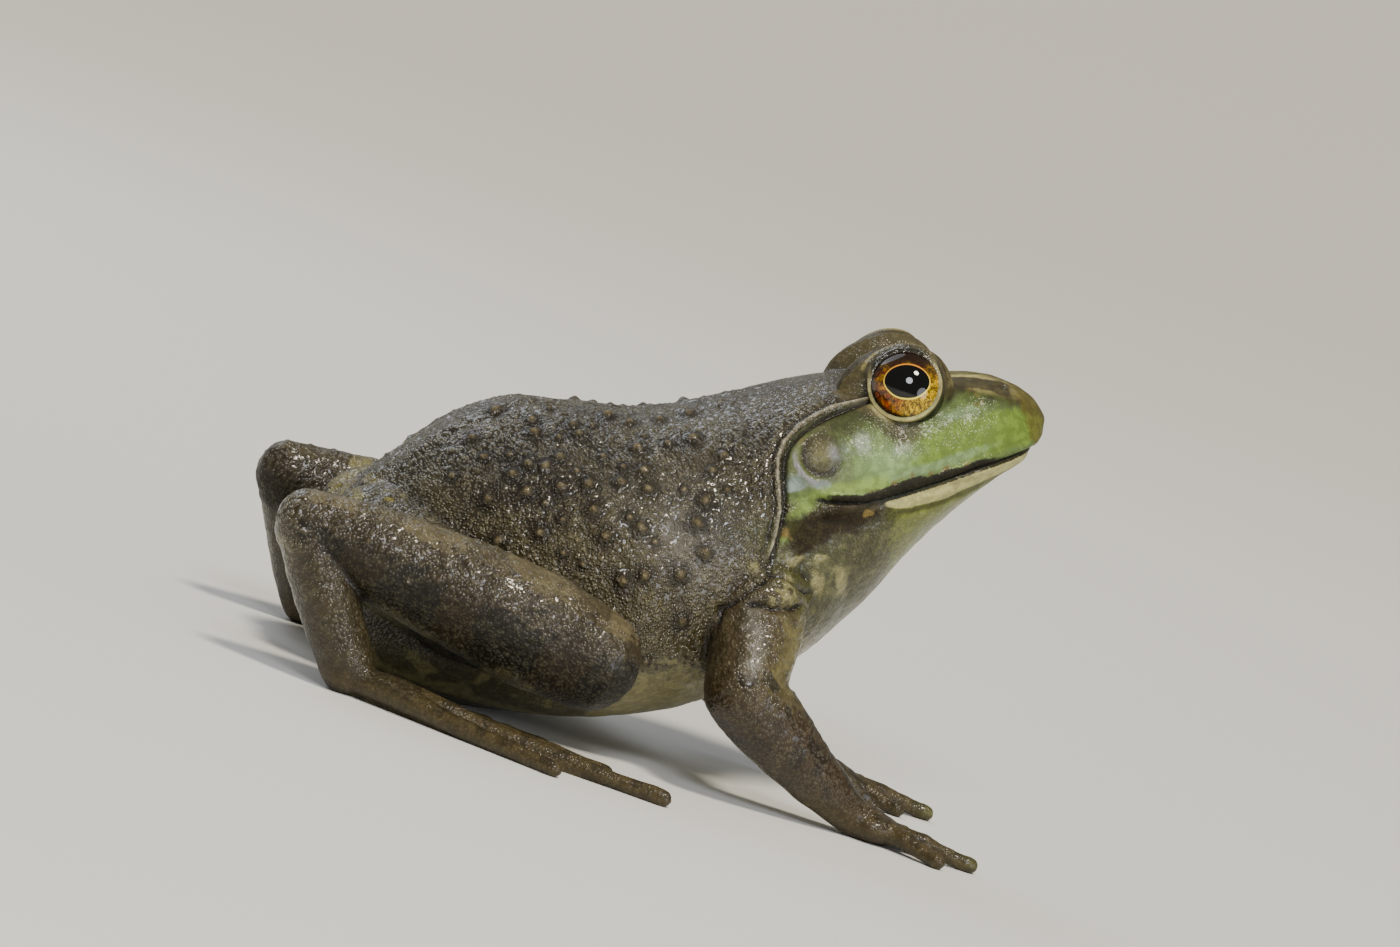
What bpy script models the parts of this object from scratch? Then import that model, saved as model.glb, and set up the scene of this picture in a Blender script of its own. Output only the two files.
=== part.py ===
"""American bullfrog sitting alert on a flat floor, life size, as a still museum model.

The animal is modelled whole from lofted bodies that are fused into one flesh mesh, and then parted
into its named pieces by closed cells that leave a thin gap between neighbours. The eyes are balls of
their own in sockets. +X runs from the vent to the snout, +Y to the frog's left, +Z up from the floor.
Lengths are in millimetres and become metres where a mesh is made.
"""

import math

import bmesh
import bpy
import numpy as np
from mathutils import Matrix, Vector

MM = 0.001

# ---- driving dimensions, in millimetres -------------------------------------------------------
GAP = 0.3  # between neighbouring pieces
VOXEL = 0.42  # grain of the fused flesh
FLESH_TRIANGLES = 3000  # of the whole flesh before it is parted
SMOOTHING = 7  # passes that round the joins between lofts
HULL_POINTS = 40  # on each ball of a parting cell

# The head has its own axes: along the closed mouth, sideways, and square to the mouth.
JAW_CORNER = (18.5, 41.6)  # x and z of the mouth's corner, on the middle plane
HEAD_PITCH = math.radians(30)
LIP_LINE = -1.7  # height of the mouth slit over the jaw corner
NECK_CUT = -2.7  # where the head parts from the trunk, along the head

EYE_RADIUS = 5.3
EYE = (15.2, 8.8, 10.7)  # in head axes, for the left side
EAR_RADIUS = 3.1
EAR = (1.6, 16.6, 6.2)  # in head axes: the middle of the eardrum
EAR_TILT = math.radians(8)  # the drum faces a little forwards
EAR_DEPTH = 2.4  # how far the drum's plug reaches in from its middle
EAR_CLEAR = 5.0  # how far out of the skin its plug is cut
EAR_SIDES = 24
BROW = (7.9, 5.5, 6.2)  # radii of the lid and brow round the eyeball, in head axes
BROW_SHIFT = (-1.4, -1.4, 0.2)  # of its middle from the eye's: along, out and up

# Trunk, before it leans back about the seat: x, top, floor side, half width, height of the widest level
TRUNK_LEAN = math.radians(3)
SEAT = (-36.0, 0.0)  # x and z
TRUNK = [
    (-42.5, 16.0, 13.0, 1.6, 14.5),
    (-41.0, 20.5, 9.5, 5.0, 14.5),
    (-38.0, 25.3, 5.2, 8.6, 14.5),
    (-33.0, 31.0, 1.0, 12.2, 15.0),
    (-27.0, 36.6, -1.2, 16.0, 15.5),
    (-21.0, 40.2, -1.4, 19.6, 16.0),
    (-14.0, 41.5, -0.8, 22.6, 17.0),
    (-4.0, 43.2, 0.8, 24.4, 19.0),
    (4.0, 46.2, 3.0, 23.8, 22.0),
    (12.0, 50.0, 6.3, 21.6, 26.0),
    (20.0, 53.4, 11.2, 18.6, 31.0),
    (27.0, 54.5, 18.5, 15.5, 37.0),
    (31.0, 53.0, 25.0, 11.0, 41.0),
]
# Head above the mouth: along, top, widest level, lowest level, half width, squareness of the section
CRANIUM = [
    (-10.0, 13.6, -1.7, -2.9, 18.4, 2.3),
    (-5.0, 14.0, -1.7, -2.9, 18.6, 2.3),
    (1.0, 14.1, -1.7, -2.9, 18.3, 2.3),
    (6.7, 13.8, -1.7, -2.9, 17.3, 2.2),
    (12.0, 12.9, -1.7, -2.9, 15.8, 2.1),
    (17.0, 11.7, -1.7, -2.9, 14.3, 2.1),
    (21.8, 10.5, -1.7, -2.9, 12.7, 2.2),
    (26.0, 9.4, -1.4, -2.8, 10.7, 2.3),
    (29.4, 7.7, -0.6, -2.3, 8.3, 2.2),
    (31.8, 5.7, 0.4, -1.1, 5.7, 2.1),
    (33.2, 3.7, 1.2, 0.2, 3.0, 2.0),
    (33.8, 1.9, 1.5, 1.1, 1.0, 2.0),
]
# Lower jaw and throat: along, highest level, widest level, bottom, half width, squareness
JAW = [
    (-9.0, -0.7, -1.7, -23.5, 16.8, 2.0),
    (-4.0, -0.7, -1.7, -21.9, 17.3, 2.0),
    (1.0, -0.7, -1.7, -19.2, 17.2, 2.0),
    (4.4, -0.7, -1.7, -17.2, 16.8, 2.0),
    (10.0, -0.7, -1.7, -13.1, 15.6, 2.0),
    (14.5, -0.7, -1.7, -10.1, 14.3, 2.0),
    (19.1, -0.7, -1.7, -7.6, 12.6, 2.0),
    (24.0, -0.9, -1.7, -5.4, 10.0, 2.0),
    (27.6, -1.1, -1.9, -4.1, 7.2, 2.0),
    (29.6, -1.4, -2.1, -3.3, 4.2, 2.0),
    (30.4, -1.7, -2.2, -2.7, 1.4, 2.0),
]

# Joints of the left side. The right side mirrors them.
JOINTS = {
    "shoulder": (15.0, 13.0, 29.7),
    "elbow": (15.3, 25.0, 15.0),
    "wrist": (34.0, 20.5, 3.4),
    "hand": (38.4, 20.0, 2.1),
    "hip": (-35.0, 7.5, 18.0),
    "knee": (-6.4, 31.0, 13.9),
    "heel": (-46.8, 26.0, 19.6),
    "ankle": (-37.0, 30.0, 3.4),
}
HEEL_BACK = {1: -1.2, -1: 0.8}  # the right heel is drawn in a little further back than the left
FOOT_TURN = math.radians(18)  # the foot points out of straight ahead
HAND_TURN = math.radians(-6)

# Digits: turn from the foot's or hand's own line in degrees (outward is plus), reach from its root
TOES = [(-30, 21.0), (-17, 28.0), (-6, 36.5), (4, 46.0), (19, 34.0)]
FINGERS = [(-58, 10.5), (-20, 10.0), (10, 14.0), (46, 11.0)]
TOE_RADIUS = 1.25
FINGER_RADIUS = 1.3
ARM_RADII = {"upper": [6.6, 6.2, 5.3], "forearm": [5.3, 4.9, 2.9, 2.5], "palm": (4.0, 3.8, 2.2)}
LEG_RADII = {"thigh": [8.2, 7.6, 6.4, 6.0], "shank": [6.3, 6.9, 5.7, 4.2], "tarsus": [4.2, 4.3, 3.7]}
SHANK_HEIGHT = 1.14  # its height over its width
WEB_REACH = 0.86  # how far out between the toes the web runs
WEB_BITE = 0.9  # depth of the hollow in its free edge
WEB_TOP = 0.9
BELOW_FLOOR = -1.5  # what is modelled under the floor and then cut off flat
FAR = 90  # further than any flesh reaches

# How finely the lofts are drawn
LOFT_STEPS = 4  # rings to each interval between given sections
TRUNK_SIDES = 48
HEAD_SIDES = 44
DIGIT_SIDES = 12
TRUNK_SQUARENESS = {"above": 2.15, "below": 2.5}  # 2 is an ellipse
FINGER_HEIGHTS = {"knuckle": 2.0, "tip": 0.9}
SHARP_EDGE = math.radians(50)  # joins sharper than this keep a crisp edge


# ---- small tools ------------------------------------------------------------------------------
def head_point(along, side, up):
    """A point given in head axes, in the model's axes."""
    forward = np.array([math.cos(HEAD_PITCH), 0, math.sin(HEAD_PITCH)])
    upward = np.array([-math.sin(HEAD_PITCH), 0, math.cos(HEAD_PITCH)])
    corner = np.array([JAW_CORNER[0], 0, JAW_CORNER[1]])
    return corner + along * forward + side * np.array([0, 1, 0]) + up * upward


def leaned(x, y, z):
    """A point of the trunk after the trunk has leaned back about the seat."""
    cos, sin = math.cos(TRUNK_LEAN), math.sin(TRUNK_LEAN)
    ahead, above = x - SEAT[0], z - SEAT[1]
    return SEAT[0] + ahead * cos - above * sin, y, SEAT[1] + ahead * sin + above * cos


def smooth_rows(rows, steps):
    """Rows of numbers read from smooth curves through the given rows, steps to each interval."""
    rows = np.array(rows, float)
    slope = np.gradient(rows, rows[:, 0], axis=0)
    out = []
    for i in range(len(rows) - 1):
        span = rows[i + 1, 0] - rows[i, 0]
        for t in np.arange(steps) / steps:
            h00, h10 = 2 * t**3 - 3 * t**2 + 1, t**3 - 2 * t**2 + t
            h01, h11 = 3 * t**2 - 2 * t**3, t**3 - t**2
            out.append(h00 * rows[i] + h10 * span * slope[i] + h01 * rows[i + 1] + h11 * span * slope[i + 1])
    return np.array(out + [rows[-1]])


def joint(name, side):
    """A joint's centre on the left for side +1, or on the right for side -1."""
    x, y, z = JOINTS[name]
    back = HEEL_BACK[side] if name == "heel" else 0.0
    return np.array([x - back, side * y, z])


def power(value, exponent):
    return math.copysign(abs(value) ** exponent, value)


def mesh_object(name, points, faces):
    """An object whose mesh has these points, in millimetres, and faces."""
    mesh = bpy.data.meshes.new(name)
    mesh.from_pydata([Vector(p) * MM for p in points], [], faces)
    mesh.update()
    obj = bpy.data.objects.new(name, mesh)
    bpy.context.scene.collection.objects.link(obj)
    bm = bmesh.new()
    bm.from_mesh(mesh)
    bmesh.ops.recalc_face_normals(bm, faces=bm.faces)
    bm.to_mesh(mesh)
    bm.free()
    return obj


def loft(name, rings):
    """A closed body through rings that all have the same number of points."""
    count = len(rings[0])
    points = [p for ring in rings for p in ring]
    faces = [tuple(range(count)), tuple(len(points) - count + i for i in range(count))]
    for r in range(len(rings) - 1):
        for i in range(count):
            j = (i + 1) % count
            faces.append((r * count + i, r * count + j, (r + 1) * count + j, (r + 1) * count + i))
    return mesh_object(name, points, faces)


def tube(name, path, radii, flatness=1.0, sides=20, steps=6):
    """A round-ended limb along a path. Radii are across, and flatness is height over width."""
    keys = np.column_stack([np.arange(len(path)), np.array(path, float), radii])
    rows = smooth_rows(keys, steps)
    centres, widths = rows[:, 1:4], rows[:, 4]
    tangents = np.gradient(centres, axis=0)
    tangents /= np.linalg.norm(tangents, axis=1)[:, None]
    stations = [(centres[0], tangents[0], widths[0], -a) for a in (1.0, 0.85, 0.55)]
    stations += [(c, t, w, 0.0) for c, t, w in zip(centres, tangents, widths)]
    stations += [(centres[-1], tangents[-1], widths[-1], a) for a in (0.55, 0.85, 1.0)]
    rings = []
    for centre, tangent, width, cap in stations:
        middle = centre + tangent * width * cap
        radius = width * max(math.sqrt(1 - cap * cap), 0.12)
        level = np.cross(tangent, (0, 0, 1))
        level = level / np.linalg.norm(level) if np.linalg.norm(level) > 0.05 else np.array([0, 1, 0])
        upright = np.cross(level, tangent)
        turns = [2 * math.pi * k / sides for k in range(sides)]
        rings.append(
            [middle + radius * (math.cos(a) * level + flatness * math.sin(a) * upright) for a in turns]
        )
    return loft(name, rings)


def ball(name, centre, radii, turn=None):
    """An ellipsoid with these three radii, its axes turned by a 3x3 matrix of row vectors."""
    bm = bmesh.new()
    bmesh.ops.create_uvsphere(bm, u_segments=20, v_segments=12, radius=1.0)
    axes = np.eye(3) if turn is None else np.array(turn)
    points = [np.array(centre) + (np.array(v.co) * np.array(radii)) @ axes for v in bm.verts]
    faces = [[v.index for v in f.verts] for f in bm.faces]
    bm.free()
    return mesh_object(name, points, faces)


def head_axes():
    origin = head_point(0, 0, 0)
    return np.array([head_point(*unit) - origin for unit in ((1, 0, 0), (0, 1, 0), (0, 0, 1))])


def evaluated_mesh(obj):
    depsgraph = bpy.context.evaluated_depsgraph_get()
    return bpy.data.meshes.new_from_object(obj.evaluated_get(depsgraph))


def settle(obj):
    """Applies an object's modifiers."""
    mesh = evaluated_mesh(obj)
    obj.modifiers.clear()
    obj.data = mesh


# ---- lofted bodies ----------------------------------------------------------------------------
def trunk_loft():
    rings = []
    for x, top, bottom, width, level in smooth_rows(TRUNK, LOFT_STEPS):
        ring = []
        for k in range(TRUNK_SIDES):
            a = 2 * math.pi * k / TRUNK_SIDES
            half = "above" if math.sin(a) > 0 else "below"
            reach = top - level if half == "above" else level - bottom
            squareness = TRUNK_SQUARENESS[half]
            y = width * power(math.cos(a), 2 / squareness)
            ring.append(leaned(x, y, level + reach * power(math.sin(a), 2 / squareness)))
        rings.append(ring)
    return loft("trunk loft", rings)


def head_loft(name, rows):
    """A closed body through sections square to the mouth, each widest at its own level."""
    rings = []
    for along, top, level, bottom, width, squareness in smooth_rows(rows, LOFT_STEPS):
        ring = []
        for k in range(HEAD_SIDES):
            a = 2 * math.pi * k / HEAD_SIDES
            reach = top - level if math.sin(a) > 0 else level - bottom
            side = width * power(math.cos(a), 2 / squareness)
            ring.append(head_point(along, side, level + reach * power(math.sin(a), 2 / squareness)))
        rings.append(ring)
    return loft(name, rings)


def brow(side):
    """The lid and brow that bulge round the eyeball."""
    along, out, up = (at + shift for at, shift in zip(EYE, BROW_SHIFT))
    return ball("brow", head_point(along, side * out, up), BROW, head_axes())


def arm(side):
    shoulder, elbow, wrist, hand = (joint(n, side) for n in ("shoulder", "elbow", "wrist", "hand"))
    out = np.array([0, side, 0])
    upper = [shoulder, shoulder * 0.5 + elbow * 0.5 + out * 1.2, elbow]
    lower = [elbow, elbow * 0.62 + wrist * 0.38 + out * 0.4 - np.array([0, 0, 0.5]), wrist, hand]
    pieces = [
        tube("upper arm", upper, ARM_RADII["upper"]),
        tube("forearm", lower, ARM_RADII["forearm"]),
        ball("palm", hand, ARM_RADII["palm"]),
    ]
    for turn, reach in FINGERS:
        a = HAND_TURN + math.radians(turn)
        way = np.array([math.cos(a), side * math.sin(a), 0])
        tip = hand + way * reach
        knuckle = hand + way * reach * 0.45
        tip[2], knuckle[2] = FINGER_HEIGHTS["tip"], FINGER_HEIGHTS["knuckle"]
        path = [hand, knuckle, knuckle * 0.4 + tip * 0.6, tip]
        radii = [FINGER_RADIUS * k for k in (1.15, 1.0, 0.85, 0.8)]
        pieces.append(tube("finger", path, radii, steps=LOFT_STEPS, sides=DIGIT_SIDES))
    return pieces


def leg(side):
    hip, knee, heel, ankle = (joint(n, side) for n in ("hip", "knee", "heel", "ankle"))
    low = np.array([0, 0, -1.2])
    thigh = [hip, hip * 0.6 + knee * 0.4 + low, hip * 0.2 + knee * 0.8 + low, knee]
    calf, shin = knee * 0.7 + heel * 0.3, knee * 0.3 + heel * 0.7
    shank = [knee, calf + np.array([0, side * 0.8, 0.6]), shin + np.array([0, 0, 0.5]), heel]
    return [
        tube("thigh", thigh, LEG_RADII["thigh"]),
        tube("shank", shank, LEG_RADII["shank"], flatness=SHANK_HEIGHT),
        tube("tarsus", [heel, heel * 0.5 + ankle * 0.5, ankle], LEG_RADII["tarsus"]),
    ]


def toe_path(side, turn, reach):
    """Root, joints and tip of one toe, lying on the floor."""
    a = FOOT_TURN + math.radians(turn)
    way = np.array([math.cos(a), side * math.sin(a), 0])
    root = joint("ankle", side)
    heights = (2.6, 2.2, 1.5, 1.2, 0.9)
    shares = (0.0, 0.3, 0.55, 0.8, 1.0)
    return [np.array([*(root + way * reach * s)[:2], h]) for s, h in zip(shares, heights)]


def foot(side):
    pieces = []
    paths = [toe_path(side, turn, reach) for turn, reach in TOES]
    for path in paths:
        radii = [TOE_RADIUS * k for k in (1.6, 1.35, 1.1, 0.95, 0.85)]
        pieces.append(tube("toe", path, radii, steps=LOFT_STEPS, sides=DIGIT_SIDES))
    for inner, outer in zip(paths, paths[1:]):
        pieces.append(web(inner, outer))
    return pieces


def web(inner, outer):
    """The skin between two toes, with a scalloped free edge."""
    inner_edge = [inner[0] + (inner[-1] - inner[0]) * t for t in np.linspace(0, WEB_REACH, 9)]
    outer_edge = [outer[0] + (outer[-1] - outer[0]) * t for t in np.linspace(0, WEB_REACH, 9)]
    a, b = inner_edge[-1], outer_edge[-1]
    root = (inner[0] + outer[0]) / 2
    shares = (0.2, 0.4, 0.6, 0.8)
    bite = [a * (1 - t) + b * t + (root - (a + b) / 2) * WEB_BITE * t * (1 - t) for t in shares]
    outline = [inner[0], *inner_edge[1:], *bite, *outer_edge[:0:-1]]
    points = [(p[0], p[1], level) for level in (WEB_TOP, BELOW_FLOOR) for p in outline]
    n = len(outline)
    faces = [tuple(range(n)), tuple(range(n, 2 * n))]
    faces += [(i, (i + 1) % n, n + (i + 1) % n, n + i) for i in range(n)]
    return mesh_object("web", points, faces)


# ---- one flesh --------------------------------------------------------------------------------
def fuse(pieces):
    """One closed, evenly grained mesh round all the pieces, its joins rounded."""
    bm = bmesh.new()
    for piece in pieces:
        bm.from_mesh(piece.data)
        bpy.data.objects.remove(piece)
    mesh = bpy.data.meshes.new("flesh")
    bm.to_mesh(mesh)
    bm.free()
    flesh = bpy.data.objects.new("flesh", mesh)
    bpy.context.scene.collection.objects.link(flesh)
    remesh = flesh.modifiers.new("grain", "REMESH")
    remesh.mode = "VOXEL"
    remesh.voxel_size = VOXEL * MM
    smooth = flesh.modifiers.new("round", "SMOOTH")
    smooth.factor = 0.5
    smooth.iterations = SMOOTHING
    settle(flesh)
    keep_largest(flesh)
    triangulate(flesh)
    thin = flesh.modifiers.new("thin", "DECIMATE")
    thin.ratio = FLESH_TRIANGLES / len(flesh.data.polygons)
    settle(flesh)
    return flesh


def triangulate(obj):
    bm = bmesh.new()
    bm.from_mesh(obj.data)
    bmesh.ops.triangulate(bm, faces=bm.faces)
    bm.to_mesh(obj.data)
    bm.free()


def keep_largest(obj):
    """Leaves only the island of the mesh that has the most faces."""
    bm = bmesh.new()
    bm.from_mesh(obj.data)
    islands, seen = [], set()
    for start in bm.verts:
        if start in seen:
            continue
        island, edge = {start}, [start]
        while edge:
            for link in edge.pop().link_edges:
                for v in link.verts:
                    if v not in island:
                        island.add(v)
                        edge.append(v)
        seen |= island
        islands.append(island)
    largest = max(islands, key=len)
    bmesh.ops.delete(bm, geom=[v for v in bm.verts if v not in largest], context="VERTS")
    bm.to_mesh(obj.data)
    bm.free()


# ---- parting ----------------------------------------------------------------------------------
def hull(name, spheres):
    """The convex body round a few balls, each a centre and a radius."""
    bm = bmesh.new()
    for centre, radius in spheres:
        for k in range(HULL_POINTS):
            height = 1 - (2 * k + 1) / HULL_POINTS
            turn = k * math.pi * (3 - math.sqrt(5))
            across = math.sqrt(1 - height * height)
            way = np.array([across * math.cos(turn), across * math.sin(turn), height])
            bm.verts.new(Vector(np.array(centre) + radius * way) * MM)
    bmesh.ops.convex_hull(bm, input=bm.verts)
    bmesh.ops.delete(bm, geom=[v for v in bm.verts if not v.link_faces], context="VERTS")
    bmesh.ops.recalc_face_normals(bm, faces=bm.faces)
    mesh = bpy.data.meshes.new(name)
    bm.to_mesh(mesh)
    bm.free()
    cell = bpy.data.objects.new(name, mesh)
    bpy.context.scene.collection.objects.link(cell)
    return cell


def slab(name, low, high, axes=None, origin=(0, 0, 0)):
    """A box between two corners, along the model's axes or along others from an origin."""
    axes = np.eye(3) if axes is None else axes
    corners = [(x, y, z) for x in (low[0], high[0]) for y in (low[1], high[1]) for z in (low[2], high[2])]
    points = [np.array(origin) + np.array(c) @ axes for c in corners]
    faces = [(0, 1, 3, 2), (4, 6, 7, 5), (0, 4, 5, 1), (2, 3, 7, 6), (0, 2, 6, 4), (1, 5, 7, 3)]
    return mesh_object(name, points, faces)


def boolean(obj, cutter, operation):
    cut = obj.modifiers.new("cut", "BOOLEAN")
    cut.operation = operation
    cut.object = cutter
    cut.solver = "EXACT"
    settle(obj)


def carve(rest, name, cell, grown):
    """Takes the flesh inside the cell out as a piece of its own, and clears the grown cell from the rest."""
    piece = bpy.data.objects.new(name, rest.data.copy())
    bpy.context.scene.collection.objects.link(piece)
    boolean(piece, cell, "INTERSECT")
    boolean(rest, grown, "DIFFERENCE")
    keep_largest(piece)
    for cutter in (cell, grown):
        bpy.data.objects.remove(cutter)
    return piece


def carve_hull(rest, name, spheres):
    wider = [(centre, radius + GAP) for centre, radius in spheres]
    return carve(rest, name, hull("cell", spheres), hull("grown", wider))


def carve_limbs(flesh, side, tag):
    """Parts one side's arm and leg, from the tips inwards."""
    p = {name: joint(name, side) for name in JOINTS}
    palm, knuckles = p["hand"] + (1.0, 0, 0), p["hand"] + (9.5, 0, -1.0)
    armpit = p["shoulder"] + (0, side * 5.0, -2.0)
    toes = [(toe_path(side, *toe)[-1], 3.0) for toe in (TOES[0], TOES[3], TOES[4])]
    calf = p["knee"] * 0.62 + p["heel"] * 0.38 + (0, side * 1.2, 0.4)
    cells = {
        "hand_": [(palm, 6.2), (knuckles, 13.0)],
        "forearm_": [(p["elbow"] + (2.2, 0, -1.6), 6.4), (p["wrist"], 5.0)],
        "upper_arm_": [(p["elbow"], 7.4), (armpit, 8.6)],
        "foot_": [*toes, (p["ankle"] + (0.5, 0, -0.6), 4.8)],
        "tarsus_": [(p["ankle"], 5.6), (p["heel"] + (1.0, 0, -4.0), 6.0)],
        "shank_": [(p["heel"], 6.4), (calf, 9.4), (p["knee"] + (0, side * 2.0, 0), 8.0)],
        "thigh_": [(p["hip"] + (0, side * 2.5, 0), 8.0), (p["knee"], 8.6)],
    }
    return [carve_hull(flesh, name + tag, spheres) for name, spheres in cells.items()]


def carve_eardrum(flesh, side, tag):
    """The round eardrum, a shallow plug in the side of the head."""
    normal = np.array([math.sin(EAR_TILT), side * math.cos(EAR_TILT), 0.0])
    middle = np.array([EAR[0], side * EAR[1], EAR[2]])
    inner, outer = middle - normal * EAR_DEPTH, middle + normal * EAR_CLEAR

    def plug(name, radius, start):
        across = np.cross(normal, (0, 0, 1))
        rings = []
        for end in (start, outer):
            turns = [2 * math.pi * k / EAR_SIDES for k in range(EAR_SIDES)]
            ring = [end + radius * (math.cos(a) * across + math.sin(a) * np.array([0, 0, 1])) for a in turns]
            rings.append([head_point(*p) for p in ring])
        return loft(name, rings)

    cell = plug("cell", EAR_RADIUS, inner)
    grown = plug("grown", EAR_RADIUS + GAP, inner - normal * GAP)
    return carve(flesh, "eardrum_" + tag, cell, grown)


def eyeball(flesh, side, tag):
    """The eye, a ball in a socket cut a gap wider than itself."""
    centre = head_point(EYE[0], side * EYE[1], EYE[2])
    socket = ball("socket", centre, [EYE_RADIUS + GAP] * 3)
    boolean(flesh, socket, "DIFFERENCE")
    bpy.data.objects.remove(socket)
    return ball("eye_" + tag, centre, [EYE_RADIUS] * 3)


def carve_head(flesh):
    axes, origin = head_axes(), head_point(0, 0, 0)

    def head_slab(name, low, high):
        return slab(name, low, high, axes, origin)

    jaw = carve(
        flesh,
        "lower_jaw",
        head_slab("cell", (NECK_CUT, -FAR, -FAR), (FAR, FAR, LIP_LINE)),
        head_slab("grown", (NECK_CUT - GAP, -FAR, -FAR), (FAR, FAR, LIP_LINE + GAP)),
    )
    head = carve(
        flesh,
        "head",
        head_slab("cell", (NECK_CUT, -FAR, LIP_LINE + GAP), (FAR, FAR, FAR)),
        head_slab("grown", (NECK_CUT - GAP, -FAR, LIP_LINE), (FAR, FAR, FAR)),
    )
    return [jaw, head]


# ---- finish -----------------------------------------------------------------------------------
def material(name, colour, roughness):
    made = bpy.data.materials.new(name)
    made.use_nodes = True
    shader = made.node_tree.nodes["Principled BSDF"]
    shader.inputs["Base Color"].default_value = (*colour, 1)
    shader.inputs["Roughness"].default_value = roughness
    return made


def stand_on_base_centre(objects):
    """Moves the whole animal so that the middle of its box stands over the origin."""
    points = np.array([v.co for o in objects for v in o.data.vertices])
    middle = (points.min(0) + points.max(0)) / 2
    for obj in objects:
        obj.data.transform(Matrix.Translation((-middle[0], -middle[1], 0)))


def main():
    for obj in list(bpy.data.objects):
        bpy.data.objects.remove(obj)

    bodies = [trunk_loft(), head_loft("cranium", CRANIUM), head_loft("jaw", JAW)]
    for side in (1, -1):
        bodies += [brow(side), *arm(side), *leg(side), *foot(side)]
    flesh = fuse(bodies)
    ground = slab("ground", (-FAR, -FAR, -FAR), (FAR, FAR, 0))
    boolean(flesh, ground, "DIFFERENCE")
    bpy.data.objects.remove(ground)

    pieces = []
    for side, tag in ((1, "left"), (-1, "right")):
        pieces.append(carve_eardrum(flesh, side, tag))
        pieces.append(eyeball(flesh, side, tag))
        pieces += carve_limbs(flesh, side, tag)
    pieces += carve_head(flesh)
    keep_largest(flesh)
    flesh.name = "trunk"
    pieces.append(flesh)

    skin = material("skin", (0.16, 0.12, 0.08), 0.35)
    eye = material("eye", (0.55, 0.28, 0.05), 0.08)
    own = {
        "head": material("face", (0.28, 0.36, 0.14), 0.35),
        "lower_jaw": material("throat", (0.55, 0.54, 0.33), 0.4),
        "eye_left": eye,
        "eye_right": eye,
    }
    for piece in pieces:
        chosen = own.get(piece.name, skin)
        piece.data.materials.clear()
        piece.data.materials.append(chosen)
        piece.data.shade_smooth()
        piece.data.set_sharp_from_angle(angle=SHARP_EDGE)
    stand_on_base_centre(pieces)


main()
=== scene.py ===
"""Bullfrog sitting alert, as a life-size museum model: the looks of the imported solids.

One skin stands for all the pieces of flesh. The same lofts as the solids' are fused at a finer grain, and the
surface is then worked over for the mouth, lids, ears, folds and warts. The eyes are balls of their own.
Lengths are in millimetres and in the model's design axes, +X to the snout, +Y to the frog's left and +Z up
from the floor, and become metres in the frame's axes where a mesh is finished.
"""

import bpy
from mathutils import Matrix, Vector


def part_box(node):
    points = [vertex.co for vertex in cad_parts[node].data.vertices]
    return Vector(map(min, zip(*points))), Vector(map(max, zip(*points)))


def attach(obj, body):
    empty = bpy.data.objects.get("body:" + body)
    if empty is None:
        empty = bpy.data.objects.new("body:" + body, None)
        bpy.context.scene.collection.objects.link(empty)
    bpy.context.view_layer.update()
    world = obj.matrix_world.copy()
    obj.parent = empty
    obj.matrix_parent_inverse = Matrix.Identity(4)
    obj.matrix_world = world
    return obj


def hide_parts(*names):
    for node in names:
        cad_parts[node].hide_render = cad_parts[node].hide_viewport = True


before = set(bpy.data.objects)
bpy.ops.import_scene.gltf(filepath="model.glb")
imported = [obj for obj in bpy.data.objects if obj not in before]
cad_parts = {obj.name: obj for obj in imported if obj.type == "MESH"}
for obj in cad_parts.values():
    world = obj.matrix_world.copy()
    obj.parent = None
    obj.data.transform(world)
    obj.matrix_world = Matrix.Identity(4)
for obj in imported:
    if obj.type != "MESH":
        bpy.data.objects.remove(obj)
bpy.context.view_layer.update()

import math
import random

import bmesh
import bpy
import numpy as np
from mathutils import Matrix, Vector, kdtree, noise

MM = 0.001

# ---- the body's driving dimensions, as in the solids
GRAIN = 0.26  # spacing of the skin's points
ROUND = 112  # sides of the lofts of trunk and head
BETWEEN = 9  # rings between two given ones
SMOOTHING = 17  # passes that round the joins between lofts
LIMB_SIDES, LIMB_STEPS = 44, 12  # round a limb, and along it between two given points
DIGIT_SIDES, DIGIT_STEPS = 16, 6
LIMB_CAPS = (0.4, 0.7, 0.9, 1.0)  # rings of a limb's round end, as shares of its radius
LEAST_CAP = 0.12  # radius of the last of them

JAW_CORNER = np.array([18.5, 0.0, 41.6])  # the head's axes start here
HEAD_PITCH = math.radians(30)
HEAD_AXES = np.array([
    [math.cos(HEAD_PITCH), 0, math.sin(HEAD_PITCH)],
    [0, 1, 0],
    [-math.sin(HEAD_PITCH), 0, math.cos(HEAD_PITCH)],
])
EYE_RADIUS = 5.3
EYE = (15.2, 8.8, 10.7)
BROW = (7.9, 5.5, 6.2)
BROW_PLACE = (EYE[0] - 1.4, EYE[1] - 1.4, EYE[2] + 0.2)
TRUNK_LEAN = math.radians(3)
SEAT = (-36.0, 0.0)
TRUNK_SQUARENESS = (2.15, 2.5)  # above and below the widest height, where 2 is an ellipse
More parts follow.
